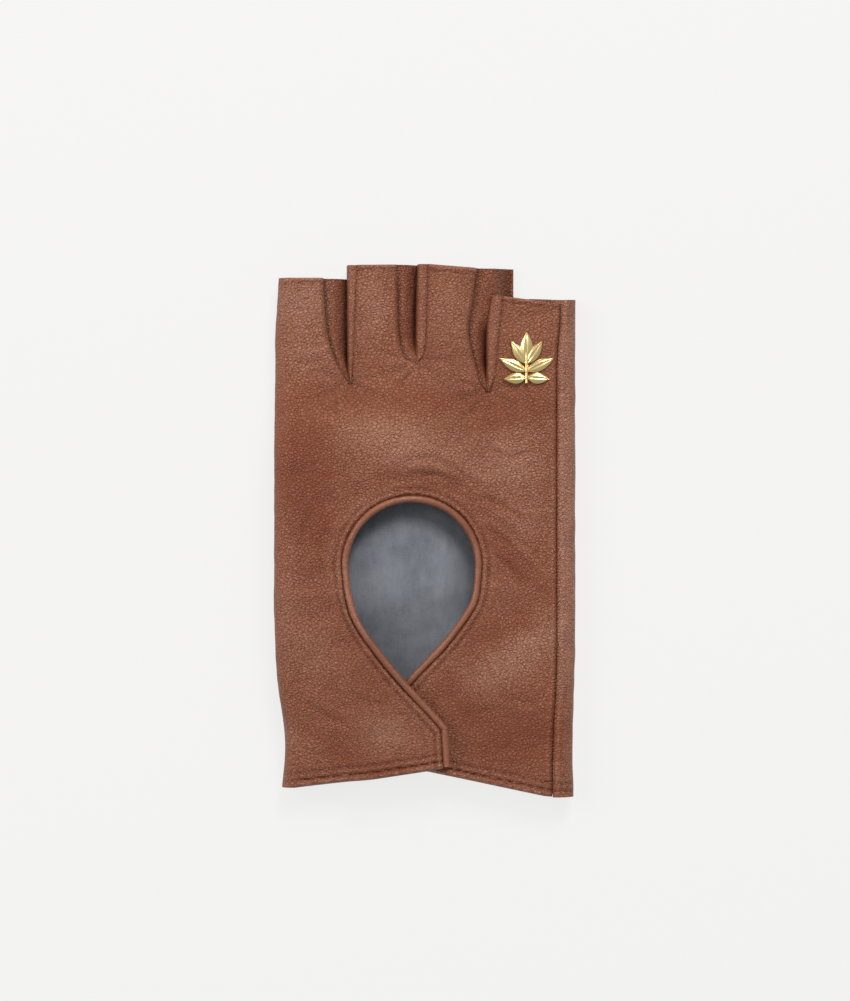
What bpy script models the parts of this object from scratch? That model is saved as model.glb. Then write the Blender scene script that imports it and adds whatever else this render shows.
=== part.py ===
"""Fingerless leather driving glove for a right hand, lying with its back up.

The frame: +Y runs to the finger ends, +X to the little finger, +Z up from the surface that the glove lies on.
The origin is at the bottom, in the middle of the glove's length and width.
Lengths below are in millimetres; point() and mm() turn them into Blender's metres.
"""
import math

import bmesh
import bpy
from mathutils import Matrix, Vector

MM = 0.001

# Layers of the glove where nothing lifts it, as heights above the surface it lies on
LEATHER = 0.9
LINING = 0.5
GAP = 0.3
PALM_LINING_Z = LEATHER + GAP
BACK_LINING_Z = 6.5
BACK_Z = BACK_LINING_Z + LINING + 0.35
BACK_TOP_Z = BACK_Z + LEATHER

# Outline
LEFT_X = -45.2
RIGHT_X = 45.3
SEAM_X = 39.6
SEAM_GAP = 0.3
PAST_Y = 84.0
PAST_X = 52.0

# The thumb stall lies folded under the palm, and lifts the glove
THUMB_PIVOT = (-29.5, -26.0)
THUMB_HALF_WIDTH = 14.0
THUMB_REACH = 40.0
THUMB_TALL = 6.1
THUMB_LOW = 3.9
THUMB_HOLE_RADIUS = 8.0
LIFT = 6.5
LIFT_FULL_X = -12.0
LIFT_END_X = 22.0
LIFT_START_Y = -76.0
LIFT_FULL_Y = (-20.0, 20.0)
LIFT_END_Y = 50.0

# Keyhole: a circle that runs into two crossing edges
KEYHOLE_CENTRE = (-3.9, -10.5)
KEYHOLE_RADIUS = 18.9
BEAD_RADIUS = 1.05
CUT_RADIUS = KEYHOLE_RADIUS + 2 * BEAD_RADIUS + GAP
LEFT_HINGE_X = KEYHOLE_CENTRE[0] - CUT_RADIUS
RIGHT_HINGE_X = KEYHOLE_CENTRE[0] + CUT_RADIUS

# Free edges of the wrist flaps, from the keyhole down to the hem
TOP_FLAP_EDGE = [(-22.8, -12.0), (-21.7, -19.5), (-18.4, -28.4), (-8.1, -42.2), (5.7, -57.4)]
TOP_FLAP_TIP = [(6.9, -59.2), (7.6, -70.3)]
UNDER_FLAP_EDGE = [(15.0, -12.0), (14.3, -18.5), (12.4, -23.4), (5.7, -32.6), (-4.0, -42.9)]
UNDER_FLAP_HIDDEN = [(-13.0, -52.6), (-15.6, -56.0)]
UNDER_FLAP_TIP_X = -15.9
TOP_FLAP_RISE = 3.4
RISE_END_X = -16.8

# Hidden press fastener
SNAP_AT = (-4.5, -62.0)
POST_RADIUS = 1.2
POST_HOLE_RADIUS = 1.6
DISC_RADIUS = 4.4

# Ornament
EMBLEM_AT = (30.5, 51.9)
EMBLEM_THICK = 1.0
PRONG_OFFSET = (4.6, -1.7)
PRONG_RADIUS = 0.6
PRONG_HOLE_RADIUS = 1.0

THREAD_RADIUS = 0.3
THREAD_ABOVE = 0.95

# Lines of the sheets' common grid, so that stacked sheets follow one another exactly
GRID_X = [-12.0, -5.0, 2.0, 9.0, 16.0, 22.0]
GRID_Y = [-81.5, -76.0, -62.0, -48.0, -34.0, -20.0, 0.0, 20.0, 27.5, 35.0, 42.5, 50.0, 66.0, 84.0]

# Finger gaps: the crease on the back, the web and the next finger's edge.
# slot_x is where the gap lies on the palm.
FINGER_GAPS = {
    "fourchette_index_middle": {
        "crease": [(-30.5, 75.9), (-28.6, 55.7), (-26.2, 49.6)],
        "web": (-24.3, 46.6),
        "next": [(-23.2, 50.0), (-23.2, 56.0), (-23.2, 79.7)],
        "slot_x": -24.0,
    },
    "fourchette_middle_ring": {
        "crease": [(-8.5, 79.9), (-7.4, 58.9), (-5.2, 53.2)],
        "web": (-3.0, 50.6),
        "next": [(-1.5, 54.0), (-1.4, 60.0), (-1.4, 80.0)],
        "slot_x": -2.3,
    },
    "fourchette_ring_little": {
        "crease": [(15.6, 78.9), (13.1, 58.9), (16.0, 47.0)],
        "web": (18.0, 42.8),
        "next": [(19.6, 46.0), (19.6, 58.0), (19.9, 70.7)],
        "slot_x": 18.8,
    },
}
FINGER_TOPS = [75.9, 79.8, 80.1, 70.2]
WALL = 0.8
LINING_MARGIN = 1.1
LINING_INSET = 3.0
CUT_LOW_Z = -2.0
CUT_TOP_Z = 30.0
SLOPED_FOOT = 0.65

LEATHER_COLOUR = (0.27, 0.095, 0.055, 1.0)
LINING_COLOUR = (0.155, 0.19, 0.23, 1.0)
BACKING_COLOUR = (0.30, 0.22, 0.17, 1.0)
THREAD_COLOUR = (0.19, 0.06, 0.035, 1.0)
GOLD_COLOUR = (0.83, 0.62, 0.26, 1.0)
STEEL_COLOUR = (0.62, 0.60, 0.56, 1.0)
ELASTIC_COLOUR = (0.06, 0.05, 0.05, 1.0)


def mm(length):
    """A length in metres."""
    return length * MM


def point(x, y, z=0.0):
    """A place in metres."""
    return Vector((x, y, z)) * MM


def ramp(start, end, value):
    """0 at start, 1 at end, smooth between."""
    share = min(max((value - start) / (end - start), 0.0), 1.0)
    return share * share * (3.0 - 2.0 * share)


def lift(x, y):
    """Height by which the folded thumb raises the glove at a place."""
    across = 1.0 - ramp(LIFT_FULL_X, LIFT_END_X, x)
    low = min(max((y - LIFT_START_Y) / (LIFT_FULL_Y[0] - LIFT_START_Y), 0.0), 1.0)
    high = 1.0 - ramp(LIFT_FULL_Y[1], LIFT_END_Y, y)
    return LIFT * across * low * high


def slope_at(x, y):
    """The turn that lays a disc on the glove at a place."""
    reach = 4.0
    along_y = (lift(x, y + reach) - lift(x, y - reach)) / (2 * reach)
    along_x = (lift(x + reach, y) - lift(x - reach, y)) / (2 * reach)
    return (math.atan(along_y), -math.atan(along_x), 0.0)


def flap_rise(x):
    """Height by which the top flap rises from its root to clear the under flap."""
    return TOP_FLAP_RISE * ramp(LEFT_HINGE_X, RISE_END_X, x)


def waist(y):
    """How far the wrist is drawn in at a height on the glove."""
    return 2.6 * math.exp(-(((y + 64.0) / 15.0) ** 2)) + 1.4 * ramp(-20.0, -75.0, y)


def left_edge(y):
    """The index side of the glove."""
    return LEFT_X + waist(y) * 0.8 + 1.2 * ramp(55.0, 80.0, y)


def right_edge(y):
    """The little-finger side of the glove."""
    return RIGHT_X - waist(y) * 0.22


def seam(y):
    """The seam on the back along the little finger."""
    return SEAM_X - 1.3 * ramp(-35.0, -72.0, y) + 1.3 * ramp(48.0, 70.0, y)


# ---------------------------------------------------------------- helpers


def clear_scene():
    for old in list(bpy.data.objects):
        bpy.data.objects.remove(old)


def material(name, colour, roughness, metallic=0.0):
    made = bpy.data.materials.new(name)
    made.use_nodes = True
    shader = made.node_tree.nodes["Principled BSDF"]
    shader.inputs["Base Color"].default_value = colour
    shader.inputs["Roughness"].default_value = roughness
    shader.inputs["Metallic"].default_value = metallic
    made.diffuse_color = colour
    return made


def add_object(name, mesh, collection, finish=None):
    thing = bpy.data.objects.new(name, mesh)
    collection.objects.link(thing)
    if finish is not None:
        mesh.materials.append(material(name + "_finish", *finish))
    return thing


def grid_mesh(name, columns, rows, place):
    """A grid of faces whose corner (i, j) lies at place(i, j)."""
    bm = bmesh.new()
    bmesh.ops.create_grid(bm, x_segments=columns - 1, y_segments=rows - 1, size=1.0)
    for corner in bm.verts:
        i = round((corner.co.x + 1.0) / 2.0 * (columns - 1))
        j = round((corner.co.y + 1.0) / 2.0 * (rows - 1))
        corner.co = place(i, j)
    mesh = bpy.data.meshes.new(name)
    bm.to_mesh(mesh)
    bm.free()
    return mesh


def thicken(thing, thickness, side=1.0):
    wall = thing.modifiers.new("thickness", "SOLIDIFY")
    wall.thickness = mm(thickness)
    wall.offset = side


def prism(name, outline, low, high, collection):
    """An upright closed block over an outline, used as a cutter."""
    bm = bmesh.new()
    corners = [bm.verts.new(point(x, y, low)) for x, y in outline]
    base = bm.faces.new(corners)
    raised = bmesh.ops.extrude_face_region(bm, geom=[base])
    tops = [item for item in raised["geom"] if isinstance(item, bmesh.types.BMVert)]
    bmesh.ops.translate(bm, verts=tops, vec=(0.0, 0.0, mm(high - low)))
    bmesh.ops.recalc_face_normals(bm, faces=bm.faces)
    mesh = bpy.data.meshes.new(name)
    bm.to_mesh(mesh)
    bm.free()
    block = add_object(name, mesh, collection)
    block.hide_render = True
    block.display_type = "WIRE"
    return block


def cut(thing, cutter, operation="DIFFERENCE", solver="EXACT"):
    boolean = thing.modifiers.new(cutter.name, "BOOLEAN")
    boolean.operation = operation
    boolean.object = cutter
    boolean.solver = solver


def cut_thin(thing, cutter):
    """A cut in a sheet that is already trimmed, where the EXACT solver leaves open slivers."""
    cut(thing, cutter, solver="MANIFOLD")


def circle(centre, radius, count):
    """Points of a circle, anticlockwise."""
    turn = 2.0 * math.pi / count
    return [
        (centre[0] + radius * math.cos(turn * k), centre[1] + radius * math.sin(turn * k))
        for k in range(count)
    ]


def arc(centre, radius, start, end, count):
    """Points of an arc between two angles in degrees."""
    points = []
    for k in range(count + 1):
        angle = math.radians(start + (end - start) * k / count)
        points.append((centre[0] + radius * math.cos(angle), centre[1] + radius * math.sin(angle)))
    return points


def smooth_path(points, step):
    """Points about one step apart on a smooth curve through the given ones."""
    ends = [points[0]] + list(points) + [points[-1]]
    path = []
    for k in range(1, len(ends) - 2):
        a, b, c, d = (Vector(ends[k + n]) for n in (-1, 0, 1, 2))
        pieces = max(1, round((c - b).length / step))
        for n in range(pieces):
            t = n / pieces
            bend = (2 * a - 5 * b + 4 * c - d) * t**2
            twist = (3 * b - a - 3 * c + d) * t**3
            spot = 0.5 * (2 * b + (c - a) * t + bend + twist)
            path.append(tuple(spot))
    path.append(tuple(points[-1]))
    return path


def shifted(points, distance):
    """A path moved sideways, to its left for a positive distance."""
    moved = []
    for k, here in enumerate(points):
        before = Vector(points[max(k - 1, 0)])
        after = Vector(points[min(k + 1, len(points) - 1)])
        along = (after - before).normalized()
        moved.append((here[0] - along.y * distance, here[1] + along.x * distance))
    return moved


def tube(name, places, radius, finish, collection, sides=2):
    """A round tube with closed ends along places in millimetres."""
    curve = bpy.data.curves.new(name, "CURVE")
    curve.dimensions = "3D"
    curve.bevel_depth = mm(radius)
    curve.bevel_resolution = sides
    curve.use_fill_caps = True
    curve.resolution_u = 1
    spline = curve.splines.new("POLY")
    spline.points.add(len(places) - 1)
    for spot, place in zip(spline.points, places):
        spot.co = (*point(*place), 1.0)
    return add_object(name, curve, collection, finish)


def turned(name, profile, centre, height, finish, collection):
    """A turned piece from (radius, height) points that run from top to bottom."""
    bm = bmesh.new()
    corners = [bm.verts.new(point(radius, 0.0, z)) for radius, z in profile]
    for upper, lower in zip(corners, corners[1:]):
        bm.edges.new((upper, lower))
    mesh = bpy.data.meshes.new(name)
    bm.to_mesh(mesh)
    bm.free()
    thing = add_object(name, mesh, collection, finish)
    thing.location = point(*centre, height)
    thing.rotation_euler = slope_at(*centre)
    screw = thing.modifiers.new("turn", "SCREW")
    screw.steps = 20
    screw.render_steps = 20
    screw.use_merge_vertices = True
    screw.merge_threshold = mm(0.01)
    return thing


# ---------------------------------------------------------------- outlines


def rectangle(left, low, right, high):
    return [(left, low), (right, low), (right, high), (left, high)]


def prong_centre(side):
    """Where the ornament's left (-1) or right (1) prong goes through the leather."""
    return (EMBLEM_AT[0] + side * PRONG_OFFSET[0], EMBLEM_AT[1] + PRONG_OFFSET[1])


def gap_outline(gap, on_palm, margin):
    """One finger gap as points from the upper left, round the web, to the upper right."""
    web = gap["web"]
    left = gap["crease"]
    right = gap["next"]
    if on_palm:
        left = [(gap["slot_x"], y) for _, y in left]
    shape = [(left[0][0] - margin, PAST_Y)]
    shape += [(x - margin, y) for x, y in left[1:]]
    shape += [(web[0] - margin * 0.7, web[1] - margin), (web[0] + margin * 0.7, web[1] - margin)]
    shape += [(x + margin, y) for x, y in right[:-1]]
    shape += [(right[-1][0] + margin, PAST_Y)]
    return shape


def finger_top_outline(inset):
    """The block above the finger ends, stepping from one finger to the next."""
    gaps = list(FINGER_GAPS.values())
    steps = [gap["next"][-1][0] - 0.4 for gap in gaps]
    bounds = [-PAST_X] + steps + [PAST_X]
    outline = []
    for k, top in enumerate(FINGER_TOPS):
        outline += [(bounds[k], top - inset), (bounds[k + 1], top - inset)]
    outline[-1] = (PAST_X, FINGER_TOPS[-1] - inset - 2.7)
    return outline + [(PAST_X, PAST_Y + 4.0), (-PAST_X, PAST_Y + 4.0)]


def hem_outline(inset):
    """The block below the hem, which rises where the two flaps cross."""
    right = [(PAST_X, -80.6), (39.5, -80.6), (35.3, -79.7), (0.2, -72.2)]
    left = [(-15.0, -74.5), (-39.1, -77.3), (-PAST_X, -77.3)]
    return [(x, y + inset) for x, y in right + left] + [(-PAST_X, -90.0), (PAST_X, -90.0)]


def through_cutter(key, outline, collection):
    """A block that reaches through every layer of the glove."""
    return prism("cut_" + key, outline, CUT_LOW_Z, CUT_TOP_Z, collection)


def make_cutters(collection):
    """Blocks that trim the sheets: fingers, hem, keyhole, thumb hole and small holes."""
    cutters = {}
    for name, gap in FINGER_GAPS.items():
        for side, on_palm in (("back", False), ("palm", True)):
            for width, margin in (("", 0.0), ("_wide", WALL + LINING_MARGIN)):
                key = f"{name}{width}_{side}"
                cutters[key] = through_cutter(key, gap_outline(gap, on_palm, margin), collection)
    outlines = {
        "tops": finger_top_outline(0.0),
        "lining_tops": finger_top_outline(LINING_INSET),
        "hem": hem_outline(0.0),
        "lining_hem": hem_outline(LINING_INSET),
        "elastic_strip": rectangle(-60.0, -90.0, 60.0, -55.0),
        "post": circle(SNAP_AT, POST_HOLE_RADIUS, 12),
    }
    for key, outline in outlines.items():
        cutters[key] = through_cutter(key, outline, collection)
    for side, radius in (("leather", CUT_RADIUS), ("lining", CUT_RADIUS - 0.1)):
        window = arc(KEYHOLE_CENTRE, radius, 0.0, 180.0, 24)
        window += [(KEYHOLE_CENTRE[0] - radius, -95.0), (KEYHOLE_CENTRE[0] + radius, -95.0)]
        cutters["window_" + side] = through_cutter("window_" + side, window, collection)
    thumb_hole = circle(THUMB_PIVOT, THUMB_HOLE_RADIUS, 24)
    cutters["thumb_hole"] = prism("cut_thumb_hole", thumb_hole, 1.5, CUT_TOP_Z, collection)
    for k, side in enumerate((-1, 1)):
        centre = prong_centre(side)
        hole = circle(centre, PRONG_HOLE_RADIUS, 10)
        cutters[f"prong_{k}"] = prism(f"cut_prong_{k}", hole, 3.0, CUT_TOP_Z, collection)
    return cutters




# ---------------------------------------------------------------- sheets


def flat_section(left, right, base):
    """A row's points across the glove, from one edge to the other on the common grid."""

    def section(y):
        columns = [left(y)] + GRID_X + [right(y)]
        return [(x, base + lift(x, y)) for x in columns]

    return section


def sheet(name, section, thickness, finish, collection):
    """A thin layer of the glove, row by row."""
    rows = [section(y) for y in GRID_Y]

    def place(i, j):
        x, z = rows[j][i]
        return point(x, GRID_Y[j], z)

    thing = add_object(name, grid_mesh(name, len(rows[0]), len(rows), place), collection, finish)
    thicken(thing, thickness)
    return thing


def back_section(y):
    """From the fold at the index side, up and across to the seam."""
    edge = left_edge(y) + LEATHER
    up = lift(edge, y)
    fold = [(edge, PALM_LINING_Z + up), (edge, BACK_Z - 1.9 + up)]
    fold += [(edge + 0.8, BACK_Z - 0.6 + up), (edge + 2.4, BACK_Z + up)]
    across = [(x, BACK_Z + lift(x, y)) for x in GRID_X]
    return fold + across + [(seam(y) - SEAM_GAP / 2, BACK_Z)]


def palm_section(y):
    """From the index side across the palm, round the little-finger edge and back to the seam."""
    across = [(x, lift(x, y)) for x in [left_edge(y) + 0.1] + GRID_X]
    edge = right_edge(y)
    roll = [(edge - 2.4, 0.0), (edge - 0.7, 0.7), (edge, 2.4)]
    roll += [(x, BACK_TOP_Z - z) for x, z in reversed(roll[1:])]
    return across + roll + [(edge - 2.4, BACK_TOP_Z), (seam(y) + SEAM_GAP / 2, BACK_TOP_Z)]


def make_back(cutters, collection, leather, lining):
    back = sheet("back_panel", back_section, LEATHER, leather, collection)
    inner = sheet(
        "back_lining",
        flat_section(lambda y: left_edge(y) + 4.0, lambda y: seam(y) - 1.5, BACK_LINING_Z),
        LINING,
        lining,
        collection,
    )
    for gap in FINGER_GAPS:
        cut(back, cutters[gap + "_back"])
        cut_thin(inner, cutters[gap + "_wide_back"])
    cut(back, cutters["tops"])
    cut_thin(inner, cutters["lining_tops"])
    cut(back, cutters["hem"])
    cut_thin(inner, cutters["lining_hem"])
    cut(back, cutters["window_leather"])
    cut_thin(inner, cutters["window_lining"])
    for sheet_object in (back, inner):
        for k in (0, 1):
            cut_thin(sheet_object, cutters[f"prong_{k}"])


def make_palm(cutters, collection, leather, lining):
    palm = sheet("palm_panel", palm_section, LEATHER, leather, collection)
    inner = sheet(
        "palm_lining",
        flat_section(lambda y: left_edge(y) + 1.6, lambda y: right_edge(y) - 2.6, PALM_LINING_Z),
        LINING,
        lining,
        collection,
    )
    for gap in FINGER_GAPS:
        cut(palm, cutters[gap + "_palm"])
        cut(inner, cutters[gap + "_wide_palm"])
    cut(palm, cutters["tops"])
    cut(inner, cutters["lining_tops"])
    cut(palm, cutters["hem"])
    cut(inner, cutters["elastic_strip"])
    for sheet_object in (palm, inner):
        cut_thin(sheet_object, cutters["thumb_hole"])


def make_fourchettes(collection, leather):
    """Side walls of the fingers: down one side of each gap, round the web and up the other."""
    for name, gap in FINGER_GAPS.items():
        slot = gap["slot_x"]
        above = gap["crease"] + [gap["web"]] + gap["next"]
        below = [(slot, y) for _, y in gap["crease"]] + [gap["web"]] + gap["next"]
        below[len(gap["crease"])] = ((slot + gap["next"][0][0]) / 2, gap["web"][1])
        feet = [(x, y, LEATHER + GAP + SLOPED_FOOT + lift(x, y)) for x, y in below]
        heads = [(x, y, BACK_Z - GAP + lift(x, y)) for x, y in above]

        def place(i, j, feet=feet, heads=heads):
            foot = point(*feet[i])
            head = point(*heads[i])
            return foot.lerp(head, j)

        wall = add_object(name, grid_mesh(name, len(feet), 2, place), collection, leather)
        thicken(wall, WALL, side=1.0)


def make_elastic(collection, finish):
    """A flat band inside the palm side of the wrist."""
    low, high = -67.0, -58.5
    across = [-36.0] + GRID_X + [36.0]

    def place(i, j):
        x = across[i]
        y = (low, -62.0, high)[j]
        return point(x, y, PALM_LINING_Z + lift(x, y))

    band = add_object("wrist_elastic", grid_mesh("wrist_elastic", len(across), 3, place), collection, finish)
    thicken(band, 0.7)


# ---------------------------------------------------------------- flaps


def flap_sheet(name, outline, level, thickness, finish, collection):
    """A wrist flap: the common grid's surface at a level, kept inside an outline."""
    columns = [LEFT_HINGE_X - 3.0, -20.0] + [RISE_END_X] + GRID_X
    rows = [y for y in GRID_Y if y <= 0.0]

    def place(i, j):
        x, y = columns[i], rows[j]
        return point(x, y, level(x) + lift(x, y))

    flap = add_object(name, grid_mesh(name, len(columns), len(rows), place), collection, finish)
    thicken(flap, thickness)
    keep = prism("keep_" + name, outline, -2.0, 40.0, bpy.data.collections["cutters"])
    cut(flap, keep, "INTERSECT")
    return flap


def top_flap_outline(inset):
    edge = shifted(smooth_path(TOP_FLAP_EDGE, 6.0), -(2 * BEAD_RADIUS + GAP + inset))
    edge = [spot for spot in edge if spot[0] > LEFT_HINGE_X + GAP]
    tip = [(4.3 - inset, -59.8), (5.0 - inset, -70.8 + inset)]
    low = [(0.2, -71.0 - 0.8 + inset), (-15.0, -74.5 + inset), (LEFT_HINGE_X + GAP, -75.7 + inset)]
    return [(LEFT_HINGE_X + GAP, edge[0][1] - 1.0)] + low[::-1] + tip[::-1] + edge[::-1][1:]


def under_flap_outline(inset):
    edge = shifted(smooth_path(UNDER_FLAP_EDGE + UNDER_FLAP_HIDDEN, 6.0), 2 * BEAD_RADIUS + GAP + inset)
    edge = [spot for spot in edge if UNDER_FLAP_TIP_X + 1.0 < spot[0] < RIGHT_HINGE_X - GAP]
    right = RIGHT_HINGE_X - GAP
    low = [(UNDER_FLAP_TIP_X + inset, -69.3 + inset), (0.2, -72.6 + inset), (right, -75.9 + inset)]
    return low + [(right, edge[0][1] - 1.0)] + edge + [(UNDER_FLAP_TIP_X + inset, edge[-1][1] - 1.5)]


def top_level(base):
    return lambda x: base + flap_rise(x)


def bead(name, edge, height, side, finish, collection):
    """A rolled edge whose inner side follows the given edge."""
    path = shifted(edge, side * BEAD_RADIUS)
    return tube(name, [(x, y, height(x) + lift(x, y)) for x, y in path], BEAD_RADIUS, finish, collection)


def make_flaps(cutters, collection, leather, backing, thread):
    bead_z = BACK_Z + LEATHER / 2
    layers = [
        ("top_flap", top_flap_outline(0.0), top_level(BACK_Z), LEATHER, leather),
        ("top_flap_facing", top_flap_outline(0.8), top_level(BACK_LINING_Z), LINING, backing),
        ("under_flap", under_flap_outline(0.0), lambda x: BACK_Z, LEATHER, leather),
        ("under_flap_facing", under_flap_outline(0.8), lambda x: BACK_LINING_Z, LINING, backing),
    ]
    for name, outline, level, thickness, finish in layers:
        flap = flap_sheet(name, outline, level, thickness, finish, collection)
        if name != "top_flap":
            cut(flap, cutters["post"])
    top_edge = smooth_path(TOP_FLAP_EDGE, 5.0) + TOP_FLAP_TIP
    bead("top_flap_binding", top_edge, top_level(bead_z), -1.0, leather, collection)
    under_edge = smooth_path(UNDER_FLAP_EDGE + UNDER_FLAP_HIDDEN, 5.0)
    bead("under_flap_binding", under_edge, lambda x: bead_z, 1.0, leather, collection)
    arch = arc(KEYHOLE_CENTRE, KEYHOLE_RADIUS + BEAD_RADIUS, -2.0, 182.0, 26)
    tube("keyhole_binding", [(x, y, bead_z + lift(x, y)) for x, y in arch], BEAD_RADIUS, leather, collection)
    make_flap_threads(collection, thread)


# ---------------------------------------------------------------- threads


def thread(name, path, finish, collection, height=None):
    """A sewing thread that lies along a path on the outside of the glove."""
    above = height or (lambda x: BACK_TOP_Z)
    places = [(x, y, above(x) + THREAD_ABOVE + lift(x, y)) for x, y in path]
    tube(name, places, THREAD_RADIUS, finish, collection, sides=1)


def make_flap_threads(collection, finish):
    away = 2 * BEAD_RADIUS + 2.0
    top_edge = shifted(smooth_path(TOP_FLAP_EDGE[2:], 7.0), -away)
    top_path = top_edge + [(2.6, -60.6), (3.2, -67.0)]
    thread("top_flap_thread", top_path, finish, collection, top_level(BACK_TOP_Z))
    under_edge = shifted(smooth_path(UNDER_FLAP_EDGE[1:], 7.0), away)
    visible = [spot for spot in under_edge if spot[0] > 1.5]
    thread("under_flap_thread", visible, finish, collection)


def make_threads(collection, finish):
    ys = [-72.0, -60.0, -48.0, -34.0, -20.0, 0.0, 20.0, 35.0, 50.0, 60.0, 67.0]
    thread("side_seam_thread", [(seam(y) + 1.6, y) for y in ys], finish, collection)
    arch = arc(KEYHOLE_CENTRE, CUT_RADIUS + 1.6, 8.0, 172.0, 20)
    thread("keyhole_thread", arch, finish, collection)
    left_hem = [(x, -72.9 + 0.05 * (x + 40.0)) for x in (-40.0, -36.0, -31.0, -26.5)]
    thread("left_hem_thread", left_hem, finish, collection)
    right_hem = [(x, -71.6 - 0.214 * (x - 18.5)) for x in (18.8, 25.0, 31.0, 36.0)]
    thread("right_hem_thread", right_hem, finish, collection)


# ---------------------------------------------------------------- thumb


def thumb_height(along):
    """Height of the folded thumb stall at a distance from its pivot."""
    return THUMB_LOW + (THUMB_TALL - THUMB_LOW) * ramp(-THUMB_HALF_WIDTH, 16.0, along)


def thumb_half_width(along):
    """Half the thumb stall's width, round at the base and slightly narrower at the end."""
    if along < 0.0:
        return math.sqrt(max(THUMB_HALF_WIDTH**2 - along**2, 0.0))
    return THUMB_HALF_WIDTH - 1.4 * along / THUMB_REACH


def make_thumb(cutters, collection, leather):
    """A flattened sleeve: closed and round at its base, open at its end."""
    alongs = [-13.6, -11.5, -8.0, -3.5, 2.0, 9.0, 16.0, 28.0, THUMB_REACH]
    around = 24

    def place(i, j):
        along = alongs[i]
        height = thumb_height(along)
        angle = 2.0 * math.pi * (j % around) / around
        power = 2.0 / 3.0
        wide = math.copysign(abs(math.cos(angle)) ** power, math.cos(angle))
        tall = math.copysign(abs(math.sin(angle)) ** power, math.sin(angle))
        return point(wide * thumb_half_width(along), along, height / 2 + tall * height / 2)

    mesh = grid_mesh("thumb_stall", len(alongs), around + 1, place)
    bm = bmesh.new()
    bm.from_mesh(mesh)
    bmesh.ops.remove_doubles(bm, verts=bm.verts, dist=mm(0.001))
    rim = [edge for edge in bm.edges if edge.is_boundary]
    base = [edge for edge in rim if max(end.co.y for end in edge.verts) < 0.0]
    bmesh.ops.holes_fill(bm, edges=base)
    bmesh.ops.recalc_face_normals(bm, faces=bm.faces)
    bm.to_mesh(mesh)
    bm.free()
    stall = add_object("thumb_stall", mesh, collection, leather)
    stall.location = point(*THUMB_PIVOT)
    thicken(stall, WALL, side=-1.0)
    cut(stall, cutters["thumb_hole"])


# ---------------------------------------------------------------- metal


def make_fastener(collection, metal):
    """A stud riveted through the under flap, and its socket on the top flap's facing."""
    up = lift(*SNAP_AT)
    stud_low = BACK_TOP_Z + up + GAP / 2
    under_low = BACK_LINING_Z + up
    socket_top = BACK_LINING_Z + TOP_FLAP_RISE + up - GAP / 2
    post_low = under_low - stud_low - 1.0
    base, ball_top, ball = 0.3, 0.9, 1.8
    stud = [(0.0, ball_top), (ball - 0.3, ball_top), (ball, (ball_top + base) / 2), (ball - 0.3, base)]
    stud += [(DISC_RADIUS, base), (DISC_RADIUS, 0.0), (POST_RADIUS, 0.0)]
    stud += [(POST_RADIUS, post_low), (0.0, post_low)]
    turned("press_stud", stud, SNAP_AT, stud_low, metal, collection)
    inner, thick = POST_RADIUS + 0.5, 0.45
    cap = [(inner, thick), (DISC_RADIUS - 0.4, thick), (DISC_RADIUS, thick / 3)]
    cap += [(DISC_RADIUS, 0.0), (inner, 0.0), (inner, thick)]
    turned("stud_cap", cap, SNAP_AT, under_low - thick - GAP, metal, collection)
    post_top, rim_low, ceiling, recess = GAP / 2 + LINING, -0.75, -0.25, ball + 0.7
    socket = [(0.0, post_top), (POST_RADIUS, post_top), (POST_RADIUS, 0.0), (DISC_RADIUS, 0.0)]
    socket += [(DISC_RADIUS, rim_low), (recess, rim_low), (recess, ceiling), (0.0, ceiling)]
    turned("press_socket", socket, SNAP_AT, socket_top, metal, collection)


def leaf(length, width, count=8):
    """The outline of a pointed leaf that grows along +Y."""
    half = []
    for k in range(count + 1):
        share = k / count
        half.append((width / 2 * math.sin(math.pi * share**0.85), length * share))
    return half[:-1] + [(0.0, length)] + [(-x, y) for x, y in half[-2:0:-1]]


def make_emblem(collection, cutters_collection, metal):
    """A sprig of seven leaves, with two prongs through the leather and a plate behind."""
    low = BACK_TOP_Z + GAP
    sprig = [(0.0, -0.6, 8.5, 3.6, 0.0)]
    for turn, start, length in ((34.0, -2.0, 8.6), (64.0, -4.2, 9.3), (94.0, -6.0, 7.0)):
        sprig += [(0.0, start, length, 3.2, side * turn) for side in (-1, 1)]
    stem = prism("emblem", rectangle(-0.5, -7.9, 0.5, 4.0), low, low + EMBLEM_THICK, collection)
    stem.hide_render = False
    stem.display_type = "TEXTURED"
    stem.data.materials.append(material("emblem_finish", *metal))
    stem.location = point(*EMBLEM_AT)
    for k, (x, y, length, width, turn) in enumerate(sprig):
        shape = prism(f"leaf_{k}", leaf(length, width), low, low + EMBLEM_THICK, cutters_collection)
        shape.matrix_world = Matrix.Translation(point(EMBLEM_AT[0] + x, EMBLEM_AT[1] + y)) @ Matrix.Rotation(
            -math.radians(turn), 4, "Z"
        )
        cut(stem, shape, "UNION")
    for k, side in enumerate((-1, 1)):
        prong = prism(
            f"prong_{k}",
            circle(prong_centre(side), PRONG_RADIUS, 8),
            BACK_LINING_Z - 1.0,
            low + EMBLEM_THICK / 2,
            cutters_collection,
        )
        cut(stem, prong, "UNION")
    plate = prism(
        "emblem_backing",
        rectangle(EMBLEM_AT[0] - 7.0, EMBLEM_AT[1] - 3.9, EMBLEM_AT[0] + 7.0, EMBLEM_AT[1] + 0.5),
        BACK_LINING_Z - 0.8,
        BACK_LINING_Z - 0.3,
        collection,
    )
    plate.hide_render = False
    plate.display_type = "TEXTURED"
    plate.data.materials.append(material("emblem_backing_finish", *metal))
    for k in (0, 1):
        cut(plate, bpy.data.objects[f"cut_prong_{k}"])


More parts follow.
